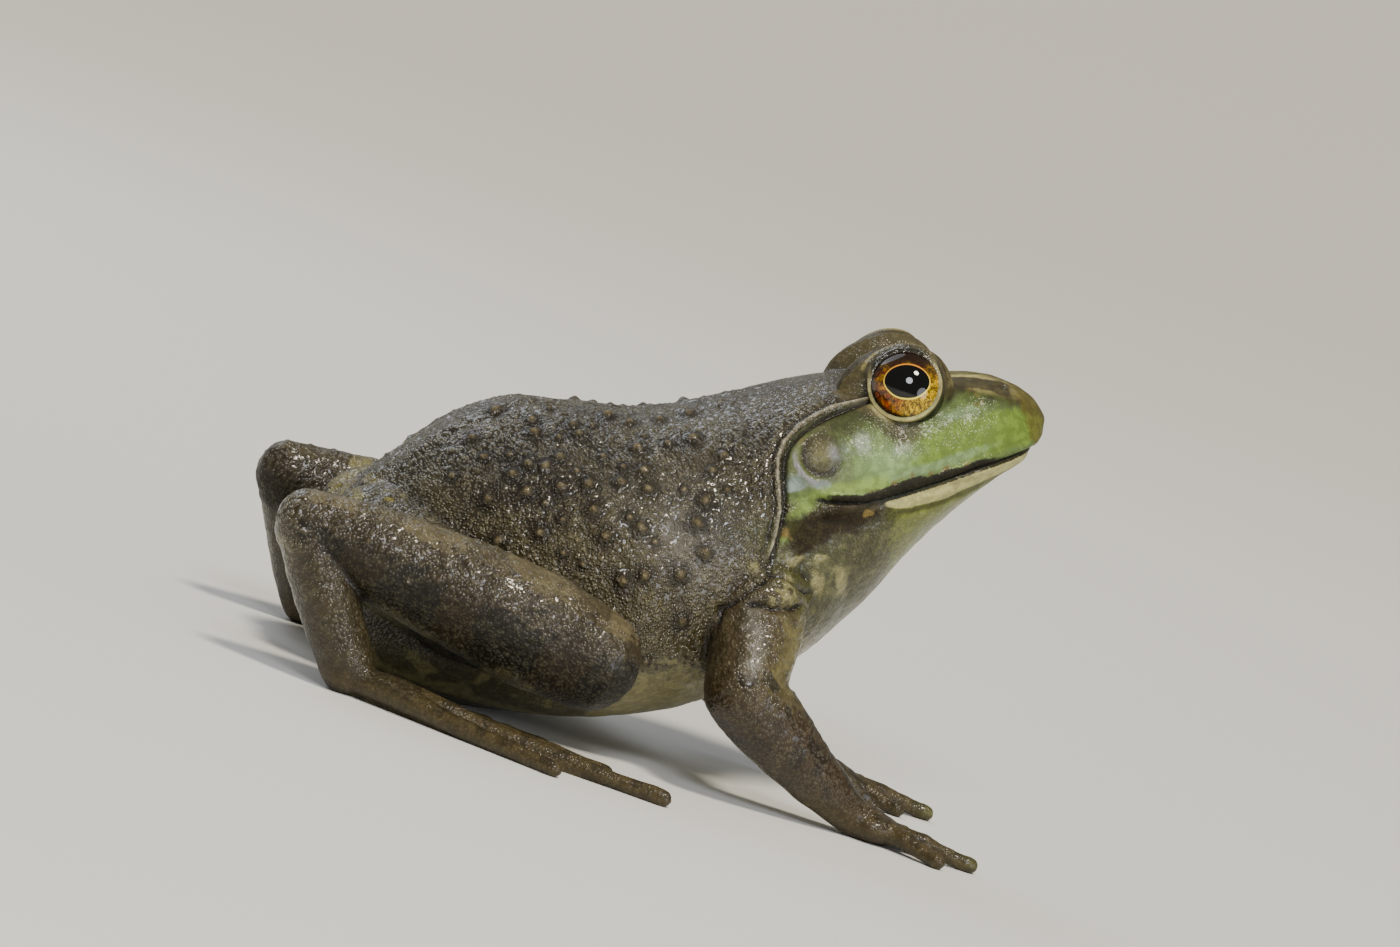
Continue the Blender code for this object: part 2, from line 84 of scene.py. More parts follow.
# Rings of the trunk: along, top, underside, half width, and the height where it is widest
TRUNK = [
    (-42.5, 16.0, 13.0, 1.6, 14.5), (-41.0, 20.5, 9.5, 5.0, 14.5), (-38.0, 25.3, 5.2, 8.6, 14.5),
    (-33.0, 31.0, 1.0, 12.2, 15.0), (-27.0, 36.6, -1.2, 16.0, 15.5), (-21.0, 40.2, -1.4, 19.6, 16.0),
    (-14.0, 41.5, -0.8, 22.6, 17.0), (-4.0, 43.2, 0.8, 24.4, 19.0), (4.0, 46.2, 3.0, 23.8, 22.0),
    (12.0, 50.0, 6.3, 21.6, 26.0), (20.0, 53.4, 11.2, 18.6, 31.0), (27.0, 54.5, 18.5, 15.5, 37.0),
    (31.0, 53.0, 25.0, 11.0, 41.0),
]
# Rings of the head in its own axes: along, top, widest height, underside, half width and squareness
CRANIUM = [
    (-10.0, 13.6, -1.7, -2.9, 18.4, 2.3), (-5.0, 14.0, -1.7, -2.9, 18.6, 2.3),
    (1.0, 14.1, -1.7, -2.9, 18.3, 2.3), (6.7, 13.8, -1.7, -2.9, 17.3, 2.2),
    (12.0, 12.9, -1.7, -2.9, 15.8, 2.1), (17.0, 11.7, -1.7, -2.9, 14.3, 2.1),
    (21.8, 10.5, -1.7, -2.9, 12.7, 2.2), (26.0, 9.4, -1.4, -2.8, 10.7, 2.3),
    (29.4, 7.7, -0.6, -2.3, 8.3, 2.2), (31.8, 5.7, 0.4, -1.1, 5.7, 2.1),
    (33.2, 3.7, 1.2, 0.2, 3.0, 2.0), (33.8, 1.9, 1.5, 1.1, 1.0, 2.0),
]
JAW = [
    (-9.0, -0.7, -1.7, -23.5, 16.8, 2.0), (-4.0, -0.7, -1.7, -21.9, 17.3, 2.0),
    (1.0, -0.7, -1.7, -19.2, 17.2, 2.0), (4.4, -0.7, -1.7, -17.2, 16.8, 2.0),
    (10.0, -0.7, -1.7, -13.1, 15.6, 2.0), (14.5, -0.7, -1.7, -10.1, 14.3, 2.0),
    (19.1, -0.7, -1.7, -7.6, 12.6, 2.0), (24.0, -0.9, -1.7, -5.4, 10.0, 2.0),
    (27.6, -1.1, -1.9, -4.1, 7.2, 2.0), (29.6, -1.4, -2.1, -3.3, 4.2, 2.0),
    (30.4, -1.7, -2.2, -2.7, 1.4, 2.0),
]
JOINTS = {
    "shoulder": (15.0, 13.0, 29.7),
    "elbow": (15.3, 25.0, 15.0),
    "wrist": (34.0, 20.5, 3.4),
    "hand": (38.4, 20.0, 2.1),
    "hip": (-35.0, 7.5, 18.0),
    "knee": (-6.4, 31.0, 13.9),
    "heel": (-46.8, 26.0, 19.6),
    "ankle": (-37.0, 30.0, 3.4),
}
HEEL_BACK = {1: -1.2, -1: 0.8}
FOOT_TURN = math.radians(18)
HAND_TURN = math.radians(-6)
TOES = [(-30, 21.0), (-17, 28.0), (-6, 36.5), (4, 46.0), (19, 34.0)]
FINGERS = [(-58, 10.5), (-20, 10.0), (10, 14.0), (46, 11.0)]
TOE_RADIUS = 1.25
FINGER_RADIUS = 1.3
WEB_TOP = 0.9
BELOW_FLOOR = -1.5

ARM_RADII = {"upper": [6.6, 6.2, 5.3], "forearm": [5.3, 4.9, 2.9, 2.5], "palm": (4.0, 3.8, 2.2)}
LEG_RADII = {"thigh": [8.2, 7.6, 6.4, 6.0], "shank": [6.3, 6.9, 5.7, 4.2], "tarsus": [4.2, 4.3, 3.7]}
SHANK_HEIGHT = 1.14  # over its width
# How far a limb bows outwards and upwards from the straight line between its joints
UPPER_ARM_BOW = (1.2, 0.0)
FOREARM_BOW = (0.4, -0.5)
THIGH_BOW = (0.0, -1.2)
CALF_BOW = (0.8, 0.6)
SHIN_BOW = (0.0, 0.5)
# Shape of the digits from root to tip: radii over the given one, heights over the floor, places of the joints
TOE_SHAPE = (1.6, 1.35, 1.1, 0.95, 0.92)
TOE_HEIGHTS = (2.6, 2.2, 1.5, 1.2, 0.9)
TOE_JOINTS = (0.0, 0.3, 0.55, 0.8, 1.0)
FINGER_SHAPE = (1.15, 1.05, 0.86, 0.9)
KNUCKLE, KNUCKLE_HEIGHT = 0.45, 2.0
FINGERTIP_HEIGHT = 0.9
WEB_REACH, WEB_POINTS = 0.86, 9  # share of the toes' length, and points along it
WEB_BITE = 0.9  # depth of the scallop between two toes
WEB_SCALLOP = (0.2, 0.4, 0.6, 0.8)

# ---- what the skin adds, in head axes for the left side
EYE_AXIS = (-0.01, 0.917, 0.399)  # where the pupil points
LID_AXIS = (-0.095, 0.899, 0.427)  # the middle of the open lids
LID_OPENING = math.radians(59.5)  # half angle of the opening, seen from the eye's centre
PUPIL_TURN = math.radians(-16)  # of its long axis, out of the line of the mouth
PUPIL = (3.0, 2.15)
IRIS = 4.55  # its radius
EAR = (1.6, 5.9)  # along and up
EAR_RADIUS = 3.3
MOUTH = [
    (-1.0, 0.7), (0.5, 0.0), (2.6, -0.8), (5.5, -1.6), (7.8, -1.85), (16, -1.7), (22, -1.3), (34, -1.2),
]  # along and up
MOUTH_CORNER = (-1.3, 18.4, 0.4)
EAR_FOLD = [
    (8.6, 10.2, 11.6), (4.7, 11.6, 10.9), (1.4, 13.0, 10.3), (-0.7, 14.0, 9.7),
    (-2.9, 15.3, 8.4), (-4.4, 16.6, 6.7), (-5.1, 17.8, 4.7), (-5.5, 18.8, 2.3),
    (-6.0, 19.3, 0.4), (-6.9, 19.8, -1.6), (-8.4, 20.4, -4.4), (-10.0, 21.3, -7.4),
]
THROAT_CREASE = [
    (-9.0, 20.6, -5.6), (-9.4, 20.6, -8.4), (-7.6, 20.0, -10.6), (-4.6, 18.6, -11.6), (-2.0, 17.0, -12.0),
]
UPPER_CREASE = [
    (-8.9, 21.0, -7.5), (-10.8, 22.4, -8.4), (-13.7, 23.0, -9.3), (-16.6, 22.1, -10.4), (-18.2, 23.2, -13.5),
]
LOWER_CREASE = [
    (-14.3, 23.8, -10.0), (-11.8, 24.4, -10.6), (-10.1, 24.5, -11.6), (-7.2, 23.0, -12.4),
    (-4.6, 20.0, -12.4),
]
SHOULDER = (-8.6, 22.3, -9.9)
KNOB, KNOB_SIZE = (-11.1, 21.1, -6.0), 0.9  # a pale wart over the arm
# Path of a pale grey streak down the upper arm, partly the skin's own pale tone and partly a painted
# highlight.
ARM_SHEEN = [(-12.9, 24.4, -10.6), (-13.1, 26.2, -13.0), (-13.5, 27.8, -15.8), (-14.9, 28.9, -18.0)]
STRIPE = [(8.5, 16.6, 0.3), (4.4, 17.5, 0.8), (-0.6, 18.3, 0.9), (-3.7, 18.8, -0.9), (-5.9, 19.5, -3.2)]
UNDER_EYE = [(8.4, 11.4, 10.7), (9.6, 12.1, 9.1), (12.4, 13.4, 6.2)]
NOSTRIL, NOSTRIL_SHAPE = (28.5, 4.4, 7.3), (0.95, 0.6, 0.8)
CANTHUS = [(17.0, 11.5), (21.0, 9.6), (24.4, 7.9), (27.8, 6.4), (31.0, 4.6), (33.5, 2.6)]  # along and up

# Cross-sections of what rises and sinks in the skin, each a sum of humps: height, place and width
WRINKLES = [(1.0, -2.5, 0.45), (0.7, -4.2, 0.5), (0.5, -6.0, 0.5)]
FOLD = [(0.62, 0.0, 0.42), (-0.62, 0.9, 0.42), (-0.15, -0.85, 0.35)]
CREASE = [(0.28, 1.1, 0.7), (-0.6, 0.0, 0.42)]
EAR_RING = [(-0.24, 2.5, 0.5), (0.24, EAR_RADIUS + 0.4, 0.6)]
LIPS = [(0.3, 0.85, 0.6), (0.22, -1.2, 0.8), (-0.2, -3.0, 0.6), (-0.7, 0.0, 0.24)]
NOSTRIL_PIT = [(0.28, 1.7, 0.8), (-0.95, 0.0, 0.9)]
LID_WRINKLES = (1.5, 2.2, 3.0)  # places outside the eyeball
LID_DIP = 0.9  # how far the skin inside the opening lies under the eyeball's surface
LID_RIM = (0.32, 0.3, 1.1)  # its place outside the opening, height over the eyeball, and roundness
LOWER_LID = (0.12, 0.3)  # height over the eyeball, and what it gains further out
UPPER_LID = (0.45, 0.55)
LID_CREASE = 2.35  # its place outside the opening
TOE_KNOTS = (0.3, 0.55, 0.8, 0.99)  # places of the swollen joints and tip
FINGER_KNOTS = (0.5, 0.76, 0.99)

# Warts: how many are tried, radii, the room between them, rise over radius, and how strongly their pale tips
# and the dark skin and painted shadow round them are laid on
LARGE_WARTS = (4000, (0.6, 0.75, 0.9, 1.05), 1.9, 0.75, 1.0)
SMALL_WARTS = (7000, (0.35, 0.45, 0.55), 0.9, 0.42, 0.3)
WART_SEED = 11
# Over a wart's radius: widths of the wart, its pale tip and the dark skin and painted shadow round it, and
# how far it reaches
WART_WIDTH, TIP_WIDTH, RING_WIDTH, WART_REACH = 0.8, 0.5, 1.7, 3.2

# Patches of paint on the side of the head: along, up, half length and half height
BLOTCHES = [(-5.0, -6.6, 1.6, 0.7), (-2.8, -10.6, 0.8, 1.9), (0.6, -11.6, 0.9, 2.1), (-1.6, -7.4, 0.7, 0.5)]
GOLD_SPOTS = [(-5.8, -2.9, 0.8), (5.9, -3.3, 0.6)]
# The dark patch behind the mouth: middles and shapes of its two lobes
PATCH = [((-2.6, 18.0, -3.4), (4.3, 4.0, 3.2)), ((2.8, 17.0, -3.0), (5.8, 4.0, 2.6))]
JAW_BAND = [(8, 0.9), (12, 1.9), (17, 2.3), (30, 1.6)]  # along, and its depth under the mouth
LIMB_SKIN = 0.4  # how far the skin may lie outside a limb's own radius
BAR_TURNS, INNER_BAR_TURNS = 17, 38  # radians of the wave that makes the bars, over the shank's length
FOOT_BAR_WAVE = (1.1, 0.4)  # radians to a millimetre, along and to the side
HOLLOWS = [(6, 6), (6 / 2.2, 40)]  # weight, and how many passes smooth the skin to find them

EYE_COLUMNS, EYE_ROWS = 256, 160
VEINS = [(1.2, 0.09), (0.55, 0.07)]  # sizes of the iris's nets, and the width of their lines
RAY_CIRCLE, RAY_LENGTH = 2.4, 1.1  # the radial veins: how many there are, and how long
WET_ROUGHNESS, DULLER = (0.34, 0.52), 0.25
WET_COAT, COAT_ROUGHNESS, EYE_COAT_ROUGHNESS = 0.9, 0.1, 0.02
GRANULES, GRANULE_HEIGHT = (0.42, 0.9), 0.38  # sizes of the fine and coarse grains, and their height

# Camera: its bearing out of straight sideways, its height over the horizon, its roll, and the point it faces
CAMERA_BEARING = math.radians(-9.12)
CAMERA_HEIGHT = math.radians(5.46)
CAMERA_ROLL = math.radians(17.94)
CAMERA_TARGET = (5.06, 2.73, 38.47)
CAMERA_DISTANCE = 1500
VIEW_WIDTH = 189
SENSOR = 36

# Round soft boxes: name, place and size in metres, power and colour
SOFT_BOXES = [
    ("box", (-0.1, -0.85, 0.65), 0.34, 5.0, "#f6f8ff"),
    ("side", (0.7, -0.8, 0.18), 0.6, 4.0, "#f2f6ff"),
    ("rim", (-0.3, 0.55, 0.5), 0.5, 1.8, "#eef4ff"),
]


# ---- small tools
def head_point(along, side, up):
    """A point given in head axes, in the model's axes."""
    return JAW_CORNER + np.array([along, side, up]) @ HEAD_AXES


def in_head_axes(points):
    return (points - JAW_CORNER) @ HEAD_AXES.T


def leaned(x, y, z):
    cos, sin = math.cos(TRUNK_LEAN), math.sin(TRUNK_LEAN)
    ahead, above = x - SEAT[0], z - SEAT[1]
    return SEAT[0] + ahead * cos - above * sin, y, SEAT[1] + ahead * sin + above * cos


def joint(name, side):
    """A joint's centre on the left for side +1, or on the right for side -1."""
    x, y, z = JOINTS[name]
    back = HEEL_BACK[side] if name == "heel" else 0.0
    return np.array([x - back, side * y, z])


def between(start, end, share, side=1, bow=(0, 0)):
    """A point this share of the way between two, moved outwards and upwards."""
    return start * (1 - share) + end * share + np.array([0, side * bow[0], bow[1]])


def power(value, exponent):
    return math.copysign(abs(value) ** exponent, value)


def smooth_rows(rows, steps):
    """Rows of numbers read from smooth curves through the given rows, steps to each interval."""
    rows = np.array(rows, float)
    slope = np.gradient(rows, rows[:, 0], axis=0)
    out = []
    for i in range(len(rows) - 1):
        span = rows[i + 1, 0] - rows[i, 0]
        for t in np.arange(steps) / steps:
            h00, h10 = 2 * t**3 - 3 * t**2 + 1, t**3 - 2 * t**2 + t
            h01, h11 = 3 * t**2 - 2 * t**3, t**3 - t**2
            out.append(h00 * rows[i] + h10 * span * slope[i] + h01 * rows[i + 1] + h11 * span * slope[i + 1])
    return np.array(out + [rows[-1]])


def step(values, low, high):
    """0 below low, 1 above high, with a soft rise between."""
    t = np.clip((values - low) / (high - low), 0, 1)
    return t * t * (3 - 2 * t)


def fade(values, low, high):
    """1 below low, 0 above high, with a soft fall between."""
    return 1 - step(values, low, high)


def stretch(values, start, full, falls, end):
    """1 from full to falls, and 0 before start and after end."""
    return step(values, start, full) * fade(values, falls, end)


def hump(values, centre, width):
    return np.exp(-(((values - centre) / width) ** 2))


def profile(values, humps):
    """A cross-section that is a sum of humps, each a height, a place and a width."""
    return sum(height * hump(values, place, width) for height, place, width in humps)


def spot(across, up, middle, height, size, wide=1.0, high=1.0):
    """A round or oval spot with a soft edge, seen from the side: 1 in its middle."""
    return hump(np.hypot((across - middle) / wide, (up - height) / high), 0, size)


def away(points, place, shape=1.0):
    """Distance from a place, over the radii of an ellipsoid."""
    return np.linalg.norm((points - np.array(place)) / shape, axis=1)


def most(*masks):
    return np.maximum.reduce(masks)


def unit(vectors):
    return vectors / np.maximum(np.linalg.norm(vectors, axis=-1, keepdims=True), 1e-9)


def line_at(line, at):
    """Height of a line of (place, height) pairs at these places."""
    places, heights = zip(*line)
    return np.interp(at, places, heights)


def put(name, data):
    """A new object in the scene."""
    obj = bpy.data.objects.new(name, data)
    bpy.context.scene.collection.objects.link(obj)
    return obj


def rework(mesh, change):
    """Makes a change to a mesh by way of a bmesh."""
    bm = bmesh.new()
    bm.from_mesh(mesh)
    change(bm)
    bm.to_mesh(mesh)
    bm.free()


def face_out(bm):
    bmesh.ops.recalc_face_normals(bm, faces=bm.faces)


def read_rows(items, name, width, kind=np.float32):
    """One property of all the points or edges of a mesh, a row to each."""
    flat = np.empty(len(items) * width, kind)
    items.foreach_get(name, flat)
    return flat.reshape(-1, width)


def keep_masks(obj, masks):
    """Stores masks with an object's points, for its paint."""
    for name, values in masks.items():
        attribute = obj.data.attributes.new(name, "FLOAT", "POINT")
        attribute.data.foreach_set("value", values.astype(np.float32))


def mesh_object(name, points, faces):
    """An object whose mesh has these points, in millimetres, and faces."""
    mesh = bpy.data.meshes.new(name)
    mesh.from_pydata([Vector(p) * MM for p in points], [], faces)
    mesh.update()
    rework(mesh, face_out)
    return put(name, mesh)


def loft(name, rings):
    """A closed body through rings that all have the same number of points."""
    count = len(rings[0])
    points = [p for ring in rings for p in ring]
    faces = [tuple(range(count)), tuple(len(points) - count + i for i in range(count))]
    for r in range(len(rings) - 1):
        for i in range(count):
            j = (i + 1) % count
            faces.append((r * count + i, r * count + j, (r + 1) * count + j, (r + 1) * count + i))
    return mesh_object(name, points, faces)


def tube(name, path, radii, flatness=1.0, sides=LIMB_SIDES, steps=LIMB_STEPS):
    """A round-ended limb along a path. Radii are across, and flatness is height over width."""
    keys = np.column_stack([np.arange(len(path)), np.array(path, float), radii])
    rows = smooth_rows(keys, steps)
    centres, widths = rows[:, 1:4], rows[:, 4]
    tangents = unit(np.gradient(centres, axis=0))
    stations = [(centres[0], tangents[0], widths[0], -a) for a in LIMB_CAPS[::-1]]
    stations += [(c, t, w, 0.0) for c, t, w in zip(centres, tangents, widths)]
    stations += [(centres[-1], tangents[-1], widths[-1], a) for a in LIMB_CAPS]
    rings = []
    for centre, tangent, width, cap in stations:
        middle = centre + tangent * width * cap
        radius = width * max(math.sqrt(1 - cap * cap), LEAST_CAP)
        level = np.cross(tangent, (0, 0, 1))
        level = level / np.linalg.norm(level) if np.linalg.norm(level) > 0.05 else np.array([0, 1, 0])
        upright = np.cross(level, tangent)
        turns = [2 * math.pi * k / sides for k in range(sides)]
        high = flatness * upright
        rings.append([middle + radius * (math.cos(a) * level + math.sin(a) * high) for a in turns])
    return loft(name, rings)


def digit(name, path, radius, shape):
    return tube(name, path, [radius * k for k in shape], steps=DIGIT_STEPS, sides=DIGIT_SIDES)


def ball(name, centre, radii, axes=None, columns=72, rows=44):
    """An ellipsoid with these three radii along the rows of axes."""
    bm = bmesh.new()
    bmesh.ops.create_uvsphere(bm, u_segments=columns, v_segments=rows, radius=1.0)
    axes = np.eye(3) if axes is None else axes
    points = [np.array(centre) + (np.array(v.co) * np.array(radii)) @ axes for v in bm.verts]
    faces = [[v.index for v in f.verts] for f in bm.faces]
    bm.free()
    return mesh_object(name, points, faces)


# ---- the lofts of the body
def oval(top, level, bottom, width, above, below):
    """Points round a ring: how far out and how high. Above and below are its squareness, 2 in an ellipse."""
    for k in range(ROUND):
        a = 2 * math.pi * k / ROUND
        reach, squareness = (top - level, above) if math.sin(a) > 0 else (level - bottom, below)
        yield width * power(math.cos(a), 2 / squareness), level + reach * power(math.sin(a), 2 / squareness)


def trunk_loft():
    rings = []
    for x, top, bottom, width, level in smooth_rows(TRUNK, BETWEEN):
        rings.append([leaned(x, y, z) for y, z in oval(top, level, bottom, width, *TRUNK_SQUARENESS)])
    return loft("trunk loft", rings)


def head_loft(name, rows):
    rings = []
    for along, top, level, bottom, width, squareness in smooth_rows(rows, BETWEEN):
        ring = oval(top, level, bottom, width, squareness, squareness)
        rings.append([head_point(along, side, up) for side, up in ring])
    return loft(name, rings)


def brow(side):
    along, out, up = BROW_PLACE
    return ball("brow", head_point(along, side * out, up), BROW, HEAD_AXES)


def arm_paths(side):
    """Centre lines and radii of the upper arm and the forearm."""
    shoulder, elbow, wrist, hand = (joint(n, side) for n in ("shoulder", "elbow", "wrist", "hand"))
    upper = [shoulder, between(shoulder, elbow, 0.5, side, UPPER_ARM_BOW), elbow]
    lower = [elbow, between(elbow, wrist, 0.38, side, FOREARM_BOW), wrist, hand]
    return (upper, ARM_RADII["upper"]), (lower, ARM_RADII["forearm"])


def reach_out(base, turn, side):
    """The way a digit points, level with the floor, turned outwards by degrees from its base."""
    a = base + math.radians(turn)
    return np.array([math.cos(a), side * math.sin(a), 0])


def finger_path(side, turn, reach):
    """Root, knuckles and tip of one finger, its tip on the floor."""
    hand = joint("hand", side)
    way = reach_out(HAND_TURN, turn, side)
    tip, knuckle = hand + way * reach, hand + way * reach * KNUCKLE
    tip[2], knuckle[2] = FINGERTIP_HEIGHT, KNUCKLE_HEIGHT
    return [hand, knuckle, between(knuckle, tip, 0.6), tip]


def arm(side):
    pieces = [tube(name, *limb) for name, limb in zip(("upper arm", "forearm"), arm_paths(side))]
    pieces.append(ball("palm", joint("hand", side), ARM_RADII["palm"]))
    paths = [finger_path(side, *finger) for finger in FINGERS]
    return pieces + [digit("finger", path, FINGER_RADIUS, FINGER_SHAPE) for path in paths]


def leg_paths(side):
    """Centre lines and radii of the thigh, the shank and the tarsus."""
    hip, knee, heel, ankle = (joint(n, side) for n in ("hip", "knee", "heel", "ankle"))
    thigh = [hip, between(hip, knee, 0.4, side, THIGH_BOW), between(hip, knee, 0.8, side, THIGH_BOW), knee]
    shank = [knee, between(knee, heel, 0.3, side, CALF_BOW), between(knee, heel, 0.7, side, SHIN_BOW), heel]
    tarsus = [heel, between(heel, ankle, 0.5), ankle]
    return (thigh, LEG_RADII["thigh"]), (shank, LEG_RADII["shank"]), (tarsus, LEG_RADII["tarsus"])


def leg(side):
    thigh, shank, tarsus = leg_paths(side)
    return [tube("thigh", *thigh), tube("shank", *shank, flatness=SHANK_HEIGHT), tube("tarsus", *tarsus)]


def toe_path(side, turn, reach):
    """Root, joints and tip of one toe, lying on the floor."""
    root = joint("ankle", side)
    way = reach_out(FOOT_TURN, turn, side)
    return [np.array([*(root + way * reach * s)[:2], h]) for s, h in zip(TOE_JOINTS, TOE_HEIGHTS)]


def foot(side):
    paths = [toe_path(side, *toe) for toe in TOES]
    toes = [digit("toe", path, TOE_RADIUS, TOE_SHAPE) for path in paths]
    return toes + [web(inner, outer) for inner, outer in zip(paths, paths[1:])]


def web(inner, outer):
    """The skin between two toes, with a scalloped free edge."""
    shares = np.linspace(0, WEB_REACH, WEB_POINTS)
    inner_edge, outer_edge = ([toe[0] + (toe[-1] - toe[0]) * t for t in shares] for toe in (inner, outer))
    a, b = inner_edge[-1], outer_edge[-1]
    root = (inner[0] + outer[0]) / 2
    bite = [a * (1 - t) + b * t + (root - (a + b) / 2) * WEB_BITE * t * (1 - t) for t in WEB_SCALLOP]
    outline = [inner[0], *inner_edge[1:], *bite, *outer_edge[:0:-1]]
    points = [(p[0], p[1], level) for level in (WEB_TOP, BELOW_FLOOR) for p in outline]
    n = len(outline)
    faces = [tuple(range(n)), tuple(range(n, 2 * n))]
    faces += [(i, (i + 1) % n, n + (i + 1) % n, n + i) for i in range(n)]
    return mesh_object("web", points, faces)


# ---- one skin
def fuse(pieces):
    """One closed, evenly grained mesh round all the pieces, cut off flat at the floor."""
    def join(bm):
        for piece in pieces:
            bm.from_mesh(piece.data)
            bpy.data.objects.remove(piece)

    mesh = bpy.data.meshes.new("skin")
    rework(mesh, join)
    skin = put("skin", mesh)
    remesh = skin.modifiers.new("grain", "REMESH")
    remesh.mode = "VOXEL"
    remesh.voxel_size = GRAIN * MM
    rounding = skin.modifiers.new("round", "SMOOTH")
    rounding.factor = 0.5
    rounding.iterations = SMOOTHING
    settled = bpy.data.meshes.new_from_object(skin.evaluated_get(bpy.context.evaluated_depsgraph_get()))
    skin.modifiers.clear()
    skin.data = settled
    rework(settled, cut_at_floor)
    keep_largest(settled)
    return skin


def cut_at_floor(bm):
    everything = bm.verts[:] + bm.edges[:] + bm.faces[:]
    floor = {"plane_co": (0, 0, 0), "plane_no": (0, 0, 1)}
    cut = bmesh.ops.bisect_plane(bm, geom=everything, clear_inner=True, **floor)
    edges = [e for e in cut["geom_cut"] if isinstance(e, bmesh.types.BMEdge)]
    bmesh.ops.triangle_fill(bm, edges=edges, use_beauty=True)
    face_out(bm)


def keep_largest(mesh):
    """Leaves only the island of the mesh that has the most points."""
    first, second = read_rows(mesh.edges, "vertices", 2, np.int32).T
    label = np.arange(len(mesh.vertices))
    settled = False
    while not settled:
        low = np.minimum(label[first], label[second])
        new = label.copy()
        np.minimum.at(new, first, low)
        np.minimum.at(new, second, low)
        new = new[new]
        settled = bool((new == label).all())
        label = new
    largest = np.bincount(label).argmax()

    def drop_the_rest(bm):
        rest = [v for v in bm.verts if label[v.index] != largest]
        bmesh.ops.delete(bm, geom=rest, context="VERTS")

    rework(mesh, drop_the_rest)


class Hide:
    """The skin's points while they are worked over. The marks are masks, kept with the mesh for the paint."""

    def __init__(self, obj):
        self.obj = obj
        self.marks = {}
        self.points = read_rows(obj.data.vertices, "co", 3).astype(float) / MM
        self.links = read_rows(obj.data.edges, "vertices", 2, np.int32).T
        self.refresh()

    def refresh(self):
        """Puts the points back in the mesh, none of them under the floor, and measures them again."""
        self.points[:, 2] = np.maximum(self.points[:, 2], 0)
        mesh = self.obj.data
        mesh.vertices.foreach_set("co", (self.points * MM).astype(np.float32).ravel())
        mesh.update()
        self.normals = read_rows(mesh.vertex_normals, "vector", 3).astype(float)
        side = np.where(self.points[:, 1] < 0, -1.0, 1.0)
        self.mirror = np.column_stack([np.ones(len(side)), side, np.ones(len(side))])
        self.left = self.points * self.mirror
        self.left_normals = self.normals * self.mirror
        self.head = in_head_axes(self.left)
        self.head_normals = self.left_normals @ HEAD_AXES.T

    def push(self, amount):
        """Moves every point out along its normal."""
        self.points += self.normals * amount[:, None]
        self.refresh()

    def mark(self, **masks):
        """Keeps masks, or the stronger of each and the one of that name that is already there."""
        for name, values in masks.items():
            self.marks[name] = np.maximum(self.marks.get(name, 0), np.clip(values, 0, 1))

    def softened(self, values, passes):
        """Values averaged over neighbouring points, several times over."""
        a, b = self.links
        size = len(self.points)
        count = np.bincount(a, minlength=size) + np.bincount(b, minlength=size) + 1.0
        for _ in range(passes):
            around = np.bincount(a, values[b], size) + np.bincount(b, values[a], size)
            values = (around + values) / count
        return values

    def lumps(self, size, seed):
        """Smooth noise from -1 to 1 with lumps of about this size."""
        return np.array([noise.noise(p) for p in self.points / size + seed])

    def crumbs(self, size, seed, small, small_seed, share=0.5):
        """Lumps with smaller ones on them."""
        return self.lumps(size, seed) + share * self.lumps(small, small_seed)

    def near(self, path):
        """near_path for a path in head axes."""
        return near_path(self.head, self.head_normals, path)

    def round_spot(self, place, size, shape=1.0):
        """A soft spot about a place in head axes, 1 in its middle."""
        return hump(away(self.head, place, shape), 0, size)

    def laid_on(self, path):
        """A path in head axes, drawn onto the skin."""
        return [self.head[away(self.head, place).argmin()] for place in path]

    def near_limb(self, path, radii, spread):
        """How surely a point belongs to a limb: 1 on its own skin, fading within spread outside it."""
        distance, share, _ = near_path(self.left, self.left_normals, path)
        places = np.linspace(0, 1, len(radii))
        return fade(distance - np.interp(share, places, radii), LIMB_SKIN, spread), share


def near_path(points, normals, path):
    """Distance to a path, share of the way along it, and side: plus to the right of it, seen from outside."""
    path = np.array(path, float)
    best = np.full(len(points), 1e9)
    share = np.zeros(len(points))
    side = np.ones(len(points))
    lengths = np.linalg.norm(np.diff(path, axis=0), axis=1)
    starts = np.concatenate([[0], np.cumsum(lengths)])
    for i, (a, b) in enumerate(zip(path, path[1:])):
        way = (b - a) / lengths[i]
        t = np.clip((points - a) @ way, 0, lengths[i])
        offset = points - (a + t[:, None] * way)
        distance = np.linalg.norm(offset, axis=1)
        closer = distance < best
        best[closer] = distance[closer]
        share[closer] = ((starts[i] + t) / starts[-1])[closer]
        across = np.cross(way, normals)
        side[closer] = np.sign((offset * across).sum(1) + 1e-12)[closer]
    return best, share, side


# ---- form
def shape_body(hide):
    """Hip ridges, spine, folds in the loose skin and small unevenness all over."""
    x, y, z = hide.left.T
    hips = hump(y - 3.2 + 0.17 * (x + 21), 0, 1.3) * stretch(x, -39, -34, -22, -15) * step(z, 26, 32)
    spine = hump(y, 0, 1.2) * stretch(x, -30, -20, 5, 15) * step(z, 34, 38)
    loose = 0.4 * hide.lumps(10.0, 3.1) + 0.14 * hide.lumps(3.2, 8.7)
    off_head = 1 - 0.8 * step(hide.head[:, 0], -6, 2)
    hide.push((0.45 * hips - 0.3 * spine + loose * off_head) * step(z, 1.0, 3.0))


def shape_snout(hide):
    """Canthus, hollow cheek before the eye, and the low crown between the eyes."""
    s, v, h = hide.head.T
    ridge = hump(h - line_at(CANTHUS, s), 0.2, 1.1) * stretch(s, 15, 19, 29, 33)
    hollow = spot(s, h, 22.5, 4.6, 2.6, wide=1.4) * step(v, 3, 6)
    crown = hump(v, 0, 4.2) * hump(s, 16, 6) * step(h, 8, 11)
    hide.push(0.28 * ridge - 0.35 * hollow - 0.55 * crown)


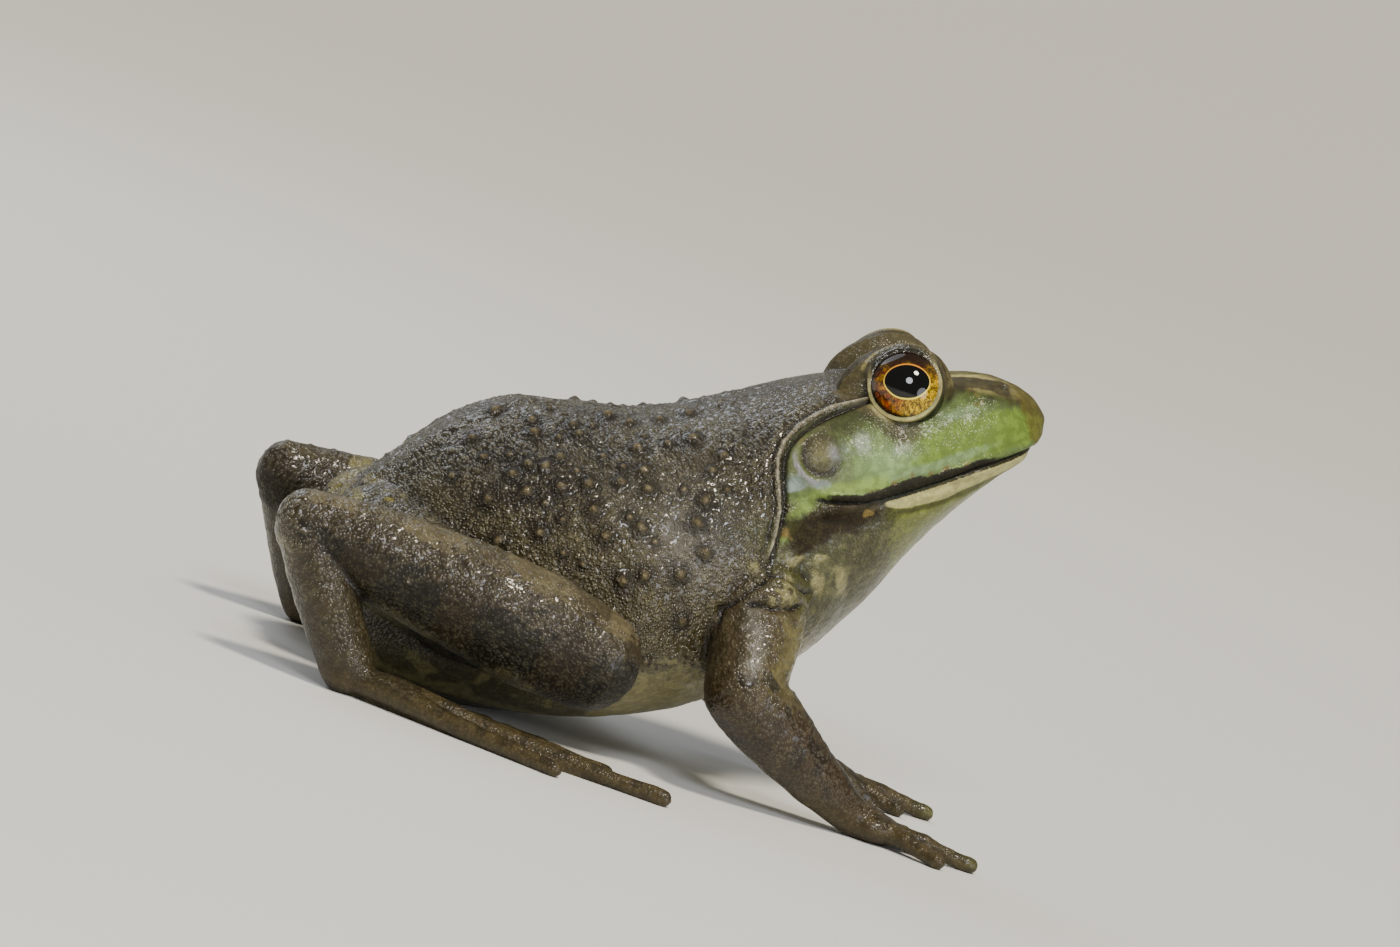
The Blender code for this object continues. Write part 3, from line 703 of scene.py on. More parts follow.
def shape_fold(hide):
    """The fold that runs from the eye over the ear to the arm, with wrinkles behind it."""
    distance, share, side = hide.near(EAR_FOLD)
    across = distance * side
    whole = stretch(share, 0.0, 0.07, 0.86, 1.0) * step(6 - distance, 0, 1)
    # Painted highlight: a pale line along the crest of the fold.
    hide.mark(fold=hump(across, 0.0, 0.22) * whole)
    # Painted shade in the dips on both sides of the fold.
    hide.mark(groove=hump(across, 0.92, 0.42) * whole)
    hide.mark(groove=0.55 * hump(across, -0.75, 0.28) * whole)
    swell = 0.2 * hump(across, -1.6, 1.7) - 0.16 * profile(across, WRINKLES) * step(share, 0.25, 0.5)
    hide.push((swell + profile(across, FOLD)) * whole)


def shape_shoulder(hide):
    """Loose skin bunched over the arm, and the creases round it."""
    hide.push(0.8 * hide.round_spot(SHOULDER, 2.0, (1.7, 1.4, 0.8)))
    hide.push(0.55 * hide.round_spot(KNOB, KNOB_SIZE))
    for crease in (THROAT_CREASE, UPPER_CREASE, LOWER_CREASE):
        distance, share, _ = hide.near(hide.laid_on(crease))
        ends = stretch(share, 0, 0.15, 0.75, 1)
        # Painted shade along the crease.
        hide.mark(groove=0.7 * hump(distance, 0, 0.3) * ends)
        hide.push(profile(distance, CREASE) * ends)


def shape_ear(hide):
    """The ear drum, sunk in its ring and raised in its middle."""
    s, v, h = hide.head.T
    along, up = s - EAR[0], h - EAR[1]
    out = np.hypot(along, up)
    wavy = out + 0.16 * hide.lumps(1.3, 5.1) + 0.1 * hide.lumps(0.6, 8.1)
    ear = step(v, 9, 11) * step(7 - out, 0, 1)
    rear = 0.15 + 0.85 * spot(s, h, -1.8, 3.6, 3.6)
    behind = 0.25 + 0.75 * fade(along + 0.6 * up + 1.2 * hide.lumps(1.1, 9.9), -0.6, 1.6)
    hide.mark(
        drum=fade(wavy, 2.2, 3.9) * ear * (1 - 0.4 * step(along, 0.5, 3.0)),
        # Painted shade in the sunken ring round the drum, strongest at its rear.
        drum_edge=hump(wavy, 2.45, 0.5) * ear * behind,
        # The raised outer ring at the drum's rear: partly pale lavender-grey skin and partly a painted
        # highlight.
        drum_rim=hump(wavy, EAR_RADIUS + 0.45, 0.42) * ear * rear,
        drum_middle=hump(np.hypot(along, up - 0.2) + 0.5 * hide.lumps(0.9, 4.4), 0, 1.5) * ear,
        # Painted highlight: a pale spot on the drum, ahead of its middle.
        drum_sheen=spot(along, up, 1.6, -0.1, 1.0, wide=0.625) * ear,
    )
    drum = -0.3 * fade(out, 0.6, 3.4) + 0.22 * hump(out, 0.3, 1.0)
    hide.push((drum + profile(out, EAR_RING) * rear) * ear)


def shape_mouth(hide):
    """The lips, the line between them and a dimple at their corner."""
    s, _, h = hide.head.T
    gap = h - line_at(MOUTH, s)
    lips = step(s, -1.0, 0.6)
    hide.mark(slit=hump(gap, 0, 0.2) * lips)
    hide.push(profile(gap, LIPS) * lips)
    hide.push(-0.35 * hide.round_spot(MOUTH_CORNER, 1.3))


def shape_cheeks(hide):
    """Soft unevenness of the face, with fine wrinkles round the lids."""
    s, v, h = hide.head.T
    hide.push((0.09 * hide.lumps(2.6, 4.9) + 0.025 * hide.lumps(1.2, 6.6)) * step(s, -5, 0) * step(v, 2, 5))
    reach = away(hide.head, EYE) + 0.25 * hide.lumps(2.0, 12.0)
    wrinkles = most(*[hump(reach, EYE_RADIUS + place, 0.22) for place in LID_WRINKLES])
    hide.push(-0.06 * wrinkles * step(h, 9, 12))


def shape_lids(hide):
    """The skin dips behind the eyeball inside the opening, and rolls over as a rim outside it."""
    offset = hide.head - EYE
    distance = np.linalg.norm(offset, axis=1)
    way = offset / np.maximum(distance, 1e-9)[:, None]
    axis = unit(np.array(LID_AXIS))
    out = EYE_RADIUS * (np.arccos(np.clip(way @ axis, -1, 1)) - LID_OPENING)
    forward, _, up = unit(way - (way @ axis)[:, None] * axis).T
    upper = step(up, 0.2, 0.7)
    lower = 1 - upper
    front = step(forward, 0.1, 0.8)
    near = step(EYE_RADIUS + 6 - distance, 0, 2)
    crease = step(up, -0.3, 0.3)

    inside = np.minimum(distance, EYE_RADIUS - LID_DIP)
    rim = EYE_RADIUS + LID_RIM[1] - LID_RIM[2] * (out - LID_RIM[0]) ** 2
    lower_lid = EYE_RADIUS + LOWER_LID[0] + LOWER_LID[1] * step(out, 0.9, 2.2)
    lower_lid = np.maximum(np.where(out < 0.9, rim, 0), lower_lid)
    upper_lid = EYE_RADIUS + UPPER_LID[0] + UPPER_LID[1] * step(out, 0.1, 1.3)
    edge = step(out, -0.32, 0.02)
    target = inside * (1 - edge) + (lower_lid * lower + upper_lid * upper) * edge
    hold = fade(out, 0.9, 2.3 + 0.8 * upper) * near
    radius = distance + (target - distance) * hold - 0.16 * hump(out, LID_CREASE, 0.35) * crease
    close = fade(radius, EYE_RADIUS + 0.45, EYE_RADIUS + 0.8)
    above = step(up, -0.3, 0.4)
    hide.mark(
        rim=hump(out, 0.3, 0.36) * lower * close * (1 - 0.45 * front),
        lid_edge=hump(out, 0.1, 0.5) * upper * near,
        lid_line=hump(out, 1.45, 0.32) * step(up, 0.35, 0.75) * near,
        under_rim=hump(out, 1.2, 0.5) * lower * near * (0.55 + 0.45 * front),
        lid=hump(out, 1.2 + 1.4 * above, 0.7 + 1.3 * above) * near,
        # painted shade in the crease over the upper part of the lid
        lid_crease=hump(out, LID_CREASE, 0.28) * crease * near,
    )
    hide.points = (JAW_CORNER + (EYE + way * radius[:, None]) @ HEAD_AXES) * hide.mirror
    hide.refresh()


def shape_nostril(hide):
    start = hide.head[away(hide.head, NOSTRIL).argmin()]
    reach = away(hide.head, start, NOSTRIL_SHAPE)
    hide.mark(pit=hump(reach, 0, 0.85))
    hide.push(profile(reach, NOSTRIL_PIT))


def shape_digits(hide):
    """Swollen joints and tips along the toes and fingers."""
    paths = [(toe_path(1, *toe), TOE_KNOTS) for toe in TOES]
    paths += [(finger_path(1, *finger), FINGER_KNOTS) for finger in FINGERS]
    swell = np.zeros(len(hide.points))
    for path, places in paths:
        distance, share, _ = near_path(hide.left, hide.left_normals, path)
        near = fade(distance, 1.5, 2.2)
        knots = most(*[hump(share, place, 0.07) for place in places])
        swell = np.where(near > 0, np.maximum(swell, (0.14 * knots - 0.05) * near), swell)
    hide.push(swell * step(hide.points[:, 2], 0.2, 0.8))


def grow_warts(hide):
    """Large warts on the back and flanks, small ones between them, and a fine uneven grain."""
    chance = random.Random(WART_SEED)
    x, y, z = hide.left.T
    s = hide.head[:, 0]
    facing_up = hide.normals[:, 2]
    back = step(facing_up, -0.45, 0.2) * step(z, 14, 22) * fade(s, -9, -4)
    legs = 0.15 * step(facing_up, -0.1, 0.5) * fade(x, -12, -6) * step(z, 9, 14)
    limbs = (arm_paths(1)[0], *leg_paths(1)[:2])
    on_limb = most(*[hide.near_limb(*limb, 3.0)[0] for limb in limbs])
    flank = spot(x, z, -8, 36, 12, wide=1.6) * step(y, 3, 8) * fade(s, -15, -10) * (1 - on_limb)
    tree = kdtree.KDTree(len(hide.points))
    for i, p in enumerate(hide.points):
        tree.insert(p, i)
    tree.balance()
    height, tips, rings = np.zeros((3, len(hide.points)))
    uneven = 1 + 0.45 * hide.lumps(0.8, 7.7)
    spots = []
    for (tries, sizes, gap, rise, dark), likely in (
        (LARGE_WARTS, flank),
        (SMALL_WARTS, np.clip(np.maximum(back, legs), 0, 1)),
    ):
        for _ in range(tries):
            i = chance.randrange(len(hide.points))
            place, size = hide.points[i], chance.choice(sizes)
            room = size + gap * chance.uniform(0.6, 1.6)
            if chance.random() > likely[i] or any(np.linalg.norm(place - other) < room for other in spots):
                continue
            spots.append(place)
            for _, j, distance in tree.find_range(place, size * WART_REACH):
                out = distance * uneven[j] / size
                height[j] = max(height[j], rise * size * math.exp(-((out / WART_WIDTH) ** 2)))
                tips[j] = max(tips[j], dark * math.exp(-((out / TIP_WIDTH) ** 2)))
                rings[j] = max(rings[j], dark * math.exp(-((out / RING_WIDTH) ** 2)))
    # Masks of the pale tips, and of the dark skin round each wart, which is partly its own colour and partly
    # painted shadow.
    hide.mark(wart=tips, wart_ring=rings)
    rough = step(z, 7, 11) * (1 - 0.9 * step(s, -4, 2))
    hide.push(height + (0.1 * hide.lumps(1.5, 5.5) + 0.06 * hide.lumps(0.75, 2.5)) * rough)


# ---- markings
def mark_body(hide):
    """Masks for the paint of the trunk and limbs, among them painted shade under the legs and painted
    highlights on the shoulder and arm.
    """
    x, y, z = hide.left.T
    facing_up = hide.normals[:, 2]
    (upper, upper_radii), forearm = arm_paths(1)
    (thigh, thigh_radii), shank, tarsus = leg_paths(1)
    forearm = hide.near_limb(*forearm, 1.6)[0]
    arm = most(hide.near_limb(upper[1:], upper_radii[1:], 1.6)[0], forearm)
    shank, share = hide.near_limb(*shank, 2.0)
    folded = most(shank, hide.near_limb(thigh[1:], thigh_radii[1:], 1.5)[0])
    leg = most(folded, hide.near_limb(*tarsus, 1.5)[0])
    feet = fade(z, 3.0, 6.0)
    hide.mark(
        arm=arm,
        leg=leg,
        feet=feet,
        belly=step(-facing_up, 0.1, 0.75) * (1 - leg) * (1 - arm) * step(z, 0.5, 3),
        # Lighter on the shank's upward-facing side: partly tan skin and partly painted light.
        shank_top=shank * step(facing_up, 0.45, 0.85),
        # Painted shade: the downward-facing side of the thigh and shank darkened.
        leg_low=folded * fade(facing_up, -0.3, 0.6),
        forearm=forearm * fade(z, 10, 20),
        arm_blotch=forearm * step(hide.lumps(2.6, 6.9), 0.12, 0.42),
        arm_front=arm * step(hide.normals[:, 0] + 0.3 * hide.lumps(1.6, 8.8), 0.1, 0.9) * step(z, 12, 20),
    )

    bars = step(np.sin(share * BAR_TURNS + 0.8 * hide.lumps(4.0, 2.2)), 0.1, 0.6)
    inner_bars = step(np.sin(share * INNER_BAR_TURNS + 0.9 * hide.lumps(3.0, 4.2)), -0.1, 0.4)
    inner_bars = most(inner_bars, step(share, 0.84, 0.9))
    inner = folded * step(-hide.left_normals[:, 1] + 0.2 * facing_up, 0.0, 0.4)
    wave = FOOT_BAR_WAVE[0] * x + FOOT_BAR_WAVE[1] * y
    across_foot = step(np.sin(wave + 1.6 * hide.lumps(3.0, 5.2)), 0.2, 0.7)
    hide.mark(
        bars=bars * most(shank, 0.7 * arm * step(facing_up, -0.2, 0.4)),
        leg_inner=inner * (1 - inner_bars) * step(facing_up, -0.5, 0.1),
        inner_bars=inner * inner_bars,
        foot_bars=feet * across_foot * step(facing_up, 0.0, 0.5),
    )

    # Dark mottling low on the trunk behind and under the shank: partly its own colour and partly painted
    # shade.
    groin = fade(x, -6, 2) * fade(z, 14, 19) * step(z, 1.5, 4) * (1 - shank) * (1 - arm)
    behind = fade(x, -38, -30) * stretch(z, 9, 15, 24, 28) * (1 - shank) * fade(y, 20, 24)
    flank = step(y, 13, 19) * fade(z, 28, 36) * (1 - leg) * (1 - arm)
    hip = spot(x, z + 2.0 * hide.lumps(6.0, 9.2), -20, 33, 6.5, wide=1.5) * step(y, 7, 12)
    # Painted highlight: a pale grey veil of wet reflection on the lower shoulder and flank.
    shine = spot(x + 0.3 * (z - 31), z + 3.0 * hide.lumps(5.0, 2.6), 3.0, 31, 5.0, wide=1.5) * step(y, 12, 18)
    hide.mark(
        groin=groin * step(hide.crumbs(4.0, 1.9, 1.7, 7.1), -0.5, 0.1),
        marbled=behind * step(hide.crumbs(3.6, 6.1, 1.5, 1.1), -0.05, 0.2),
        flank=flank * step(facing_up, -0.7, 0.0),
        dark_hip=hip * (1 - leg),
        sheen=shine * (1 - arm),
    )

    shoulder = hide.round_spot(SHOULDER, 2.4, (1.5, 1.5, 0.8))
    hide.mark(spots=step(hide.lumps(1.3, 4.4), -0.1, 0.2) * shoulder)
    hide.mark(spots=hide.round_spot(KNOB, KNOB_SIZE))
    # A pale grey streak down the upper arm, partly pale skin and partly a painted highlight.
    distance, _, _ = hide.near(hide.laid_on(ARM_SHEEN))
    hide.mark(arm_sheen=fade(distance + 0.9 * hide.lumps(1.4, 3.7), -0.4, 2.2))


def mark_head(hide):
    """Masks for the paint of the face, lips, throat and ears, among them painted highlights on the cheek and
    round the ear and a painted shadow under the jaw band.
    """
    s, v, h = hide.head.T
    wander = 0.9 * hide.crumbs(2.4, 1.7, 1.0, 4.2)
    drift = 0.9 * hide.crumbs(2.4, 7.3, 1.0, 9.4)
    above = step(h, 11.3, 12.2)
    fold_place = np.interp(-h, [-p[2] for p in EAR_FOLD], [p[0] for p in EAR_FOLD])
    face = step(s - fold_place, 0.6, 1.2) * (1 - above) + above * step(s, 20, 24)
    mouth = h - line_at(MOUTH, s)
    under = -mouth
    canthus = h - line_at(CANTHUS, s)
    over_lip = step(mouth, -0.3, 0.6)
    side = face * over_lip
    hide.mark(face=fade(np.abs(mouth), 0.6, 1.2) * step(s, -1.5, 0.5))
    hide.mark(face=most(side, stretch(under, 0.1, 0.5, 3.2, 4.2) * step(s, 7, 9)))

    flat_side = side * np.where(s > 17, fade(canthus + 0.5 * drift, -2.2, 0.4), 1.0)
    yellow = step(s + 1.8 * wander, 12.5, 17.0) * fade(np.abs(h - 2.6 + 0.6 * drift), 1.6, 3.6)
    over_mouth = hump(mouth, 2.3, 0.8) * hump(s, 18, 8)
    pale = most(over_mouth, 0.9 * hump(h + 0.3 * drift, 6.2, 0.8) * hump(s, 21, 4))
    mottles = step(hide.crumbs(1.5, 6.3, 0.7, 2.2), -0.1, 0.3)
    crest = step(v + 1.0 * wander, 0.6, 3.0)
    top = step(s + 2.0 * drift, 16, 23) * (1 - 0.7 * step(s + 1.5 * wander, 26, 31)) * step(canthus, 0.0, 1.2)
    band = stretch(s, 18, 20, 28, 31) * step(canthus, -0.9, 0.1)
    hide.mark(
        green=flat_side * step(s + wander, -6, -2) * fade(h + drift, 8.0, 10.5),
        olive=side * step(hide.crumbs(2.6, 11.0, 1.1, 3.0), -0.1, 0.35) * fade(s, 28, 32),
        snout=flat_side * yellow,
        snout_pale=pale * side,
        snout_tip=over_lip * step(s + 0.5 * wander + 0.1 * h, 29.6, 32.0),
        snout_top=top * (0.25 + 0.75 * crest) * (1 - mottles * (0.6 - 0.3 * crest)),
        snout_spots=step(hide.lumps(1.1, 8.3), 0.0, 0.3) * spot(s, h, 24.0, 7.3, 1.3, wide=2.0) * side,
        canthus=band * step(v + 0.3 * wander, 2.9, 3.8) * fade(v + 0.4 * drift, 6.0, 7.6),
        cheek=side * spot(s, h, 10.5, 2.9, 2.9, wide=1.6),
        # Pale patches on the cheek, partly pale skin and partly painted highlights of the wet skin.
        cheek_shine=face * most(spot(s, h, 7.3, 6.2, 1.5, high=1.4), spot(s, h, 12.4, 4.0, 0.9, wide=1.8)),
        temple=face * spot(s, h, 6.3, 9.2, 2.5, wide=1.9),
        under_eye=face * fade(hide.near(UNDER_EYE)[0] + 0.4 * wander, 0.3, 2.3),
    )

    behind = face * step(mouth, 0.9, 2.0) * fade(s + wander, 3.5, 7.0) * step(h, -1, 2)
    # Bluish-grey skin round the ear, partly its own colour and partly a painted reflection on the wet skin.
    blue = most(spot(s, h, -3.0, 2.6, 1.9), spot(s, h, 0.5, 2.0, 1.8, high=0.625))
    blue = most(blue, 0.8 * spot(s, h, 5.6, 6.2, 1.7))
    hide.mark(
        behind_ear=behind * step(np.hypot(s - EAR[0], h - EAR[1]), 2.8, 3.6),
        ear_blue=blue * behind,
        spots=0.8 * spot(s, h + 0.5 * drift, -0.5, 8.0, 0.8, wide=1.2) * behind,
    )

    thick = 0.6 + 0.75 * hump(s, 12.5, 6.5)
    lip = step(mouth, -0.1, 0.1) * fade(mouth + 0.35 * drift, thick, thick + 0.7)
    edge = hump(mouth + 0.3 * drift, thick + 0.5, 0.5) * step(wander, -0.5, 0.4) * stretch(s, 5, 9, 19, 24)
    deep = line_at(JAW_BAND, s)
    jaw = step(under, 0.35, 0.6) * fade(under + 0.2 * drift, deep, deep + 0.6)
    below = step(under, 0.3, 2.0)
    before_arm = step(s + 0.4 * h, -14, -9)
    veil = step(hide.crumbs(2.0, 5.7, 0.9, 2.9, 0.6), 0.05, 0.6)
    hide.mark(
        lip=lip * step(s, -0.5, 2.0) * (1 - 0.7 * step(s, 22, 28)),
        lip_edge=edge * face,
        jaw_band=jaw * step(s + 0.8 * wander + 0.9 * mouth, 6.4, 9.4),
        # Painted shadow: a dark line under the rounded cream jaw band.
        jaw_under=hump(under + 0.2 * drift, deep + 0.75, 0.45) * step(s, 8, 12),
        jaw_line=stretch(under, 0.2, 0.5, 0.9, 1.5) * stretch(s, 2, 5, 9, 11),
        throat=below * before_arm,
        throat_mottle=veil * step(under, 2.5, 5.0) * before_arm,
        chin=below * step(s + 1.2 * wander - 0.3 * v, 0.5, 9.5),
    )

    warped = np.column_stack([s + 0.4 * wander, v, h + 0.4 * drift])
    distance, _, _ = near_path(warped, hide.head_normals, STRIPE)
    warped = np.column_stack([s + 0.9 * wander, v, h + 0.8 * drift])
    patch = np.minimum(*[away(warped, *lobe) for lobe in PATCH])
    hide.mark(
        stripe=fade(distance, 0.3, 1.6) * face,
        patch=fade(patch, 0.55, 1.25) * step(under, 0.0, 0.3),
        brow=fade(away(hide.head, BROW_PLACE, BROW), 1.02, 1.16) * step(h, 7, 9),
    )
    for along, up, long, high in BLOTCHES:
        reach = np.hypot((s + 0.7 * wander - along) / long, (h + 0.7 * drift - up) / high)
        hide.mark(blotch=fade(reach, 0.0, 1.9) * step(v, 5, 8))
    for along, up, size in GOLD_SPOTS:
        reach = np.hypot(s + 1.1 * wander - along, h + 0.8 * drift - up) / size
        hide.mark(gold=fade(reach, 0.3, 1.7) * step(v, 5, 8))


def mark_texture(hide):
    """Where the skin is smoother, and where it is less wet, than on the back."""
    m = hide.marks
    under = 0.7 * most(m["throat"], m["belly"])
    face = most(m["face"], m["lid"], m["stripe"], 0.9 * m["patch"])
    limbs = most(0.7 * m["arm"], 0.75 * m["leg"], 0.85 * m["feet"])
    dull_legs = most(0.6 * m["feet"], 0.4 * m["arm"], 0.45 * m["leg"], 0.75 * m["leg_low"])
    hide.mark(
        smooth=most(face, m["snout_top"], 0.8 * m["brow"], limbs, under, 0.5 * m["wart_ring"]),
        dull=most(m["lip"], m["patch"], 0.78 * face, 0.6 * under, dull_legs, 0.6 * m["wart_ring"]),
    )


def mark_hollows(hide):
    """How far each point lies in a hollow, at a fine and at a broad scale: the mask of the painted shade in
    the hollows.
    """
    for weight, passes in HOLLOWS:
        middle = np.column_stack([hide.softened(hide.points[:, k], passes) for k in range(3)])
        hide.mark(hollow=((middle - hide.points) * hide.normals).sum(1) * weight)


def build_skin():
    """The lofts fused into one skin, shaped and marked step by step."""
    pieces = [trunk_loft(), head_loft("cranium", CRANIUM), head_loft("jaw", JAW)]
    for side in (1, -1):
        pieces += [brow(side), *arm(side), *leg(side), *foot(side)]
    skin = fuse(pieces)
    hide = Hide(skin)
    for work in (
        shape_body, shape_snout, shape_fold, shape_shoulder, shape_ear, shape_mouth, shape_cheeks, shape_lids,
        shape_nostril, shape_digits, grow_warts, mark_body, mark_head, mark_texture, mark_hollows,
    ):
        work(hide)
    keep_masks(skin, hide.marks)
    return skin


# ---- paint: small tools for node trees
def linear(colour):
    """A colour written as #rrggbb, as the shader wants it."""
    parts = [int(colour[i : i + 2], 16) / 255 for i in (1, 3, 5)]
    return (*[c / 12.92 if c <= 0.04045 else ((c + 0.055) / 1.055) ** 2.4 for c in parts], 1.0)


class Paint:
    """Writes the nodes of one tree. Its values are sockets, numbers or colours."""

    def __init__(self, tree):
        self.tree = tree

    def node(self, kind, **settings):
        made = self.tree.nodes.new("ShaderNode" + kind)
        for name, value in settings.items():
            setattr(made, name, value)
        return made

    def feed(self, socket, value):
        if isinstance(value, bpy.types.NodeSocket):
            self.tree.links.new(value, socket)
        elif isinstance(value, str):
            socket.default_value = linear(value)
        else:
            socket.default_value = value

    def give(self, sockets, values):
        """Feeds sockets by their names."""
        for name, value in values.items():
            self.feed(sockets[name], value)

    def fed(self, made, *values):
        """A node's first output, once its inputs are given these values in their order."""
        for socket, value in zip(made.inputs, values):
            self.feed(socket, value)
        return made.outputs[0]

    def maths(self, operation, *values):
        return self.fed(self.node("Math", operation=operation), *values)

    def times(self, *values):
        return self.maths("MULTIPLY", *values)

    def vector_maths(self, operation, *values):
        return self.fed(self.node("VectorMath", operation=operation), *values)

    def vector(self, *values):
        return self.fed(self.node("CombineXYZ"), *values)

    def mask(self, name):
        return self.node("Attribute", attribute_name=name).outputs["Fac"]

    def between(self, value, low, high, start=0.0, end=1.0):
        """Runs softly from start, where the value is low, to end, where it is high."""
        return self.fed(self.node("MapRange", interpolation_type="SMOOTHSTEP"), value, low, high, start, end)

    def fade(self, value, low, high):
        """1 where the value is low, 0 where it is high."""
        return self.between(value, low, high, 1.0, 0.0)

    def mix(self, share, first, second, blend="MIX"):
        made = self.node("Mix", data_type="RGBA", blend_type=blend)
        for name, value in (("Factor_Float", share), ("A_Color", first), ("B_Color", second)):
            self.feed(next(i for i in made.inputs if i.identifier == name), value)
        return next(o for o in made.outputs if o.identifier == "Result_Color")

    def texture(self, kind, output, place, size, **values):
        """A texture with lumps or cells of about this size in millimetres."""
        made = self.node("Tex" + kind)
        self.give(made.inputs, {"Vector": place, "Scale": 1 / (size * MM), **values})
        return made.outputs[output]

    def noise(self, place, size, detail=3.0, roughness=0.5):
        return self.texture("Noise", "Fac", place, size, Detail=detail, Roughness=roughness)

    def cells(self, place, size):
        """Distance from the middle of a cell."""
        return self.texture("Voronoi", "Distance", place, size, Randomness=1.0)

    def group(self, tree, place):
        made = self.node("Group", node_tree=tree)
        self.feed(made.inputs["Place"], place)
        return made.outputs


def effect(name, *outputs):
    """A node group that gives these values for a place, with a Paint, the place and the sockets to feed."""
    tree = bpy.data.node_groups.new(name, "ShaderNodeTree")
    tree.interface.new_socket("Place", in_out="INPUT", socket_type="NodeSocketVector")
    for socket in outputs:
        tree.interface.new_socket(socket, in_out="OUTPUT", socket_type="NodeSocketFloat")
    given, result = tree.nodes.new("NodeGroupInput"), tree.nodes.new("NodeGroupOutput")
    return tree, Paint(tree), given.outputs["Place"], result.inputs


def granules_effect():
    """The fine pebbled grain of wet frog skin: its height, and the tops of its grains."""
    tree, paint, place, result = effect("granules", "Height", "Tops")
    fine = paint.fade(paint.cells(place, GRANULES[0]), 0.1, 0.62)
    coarse = paint.fade(paint.cells(place, GRANULES[1]), 0.05, 0.6)
    height = paint.maths("ADD", paint.times(fine, 0.6), paint.times(coarse, 0.4))
    patchy = paint.between(paint.noise(place, 2.6), 0.3, 0.7, 0.4, 1.0)
    paint.give(result, {"Height": height, "Tops": paint.times(height, patchy)})
    return tree


def mottle_effect():
    """Two sizes of irregular blotches, each from 0 to 1."""
    tree, paint, place, result = effect("mottle", "Broad", "Fine")
    broad = paint.between(paint.noise(place, 6.0, 5.0, 0.6), 0.36, 0.64)
    fine = paint.between(paint.noise(place, 1.3, 4.0, 0.65), 0.35, 0.65)
    paint.give(result, {"Broad": broad, "Fine": fine})
    return tree


def reticle_effect():
    """A net of fine crooked veins, 1 in the veins and 0 between them."""
    tree, paint, place, result = effect("reticle", "Veins")
    nets = []
    for size, width in VEINS:
        from_line = paint.maths("ABSOLUTE", paint.maths("SUBTRACT", paint.noise(place, size, 3.0, 0.6), 0.5))
        nets.append(paint.fade(from_line, 0.0, width))
    paint.feed(result["Veins"], paint.maths("MAXIMUM", *nets))
    return tree


def torn(paint, mask, frayed):
    """A mask whose soft edge is broken up by a noise from 0 to 1."""
    shifted = paint.maths("ADD", mask, paint.times(paint.maths("SUBTRACT", frayed, 0.5), 1.1))
    return paint.between(paint.times(shifted, paint.between(mask, 0.0, 0.12)), 0.2, 0.8)


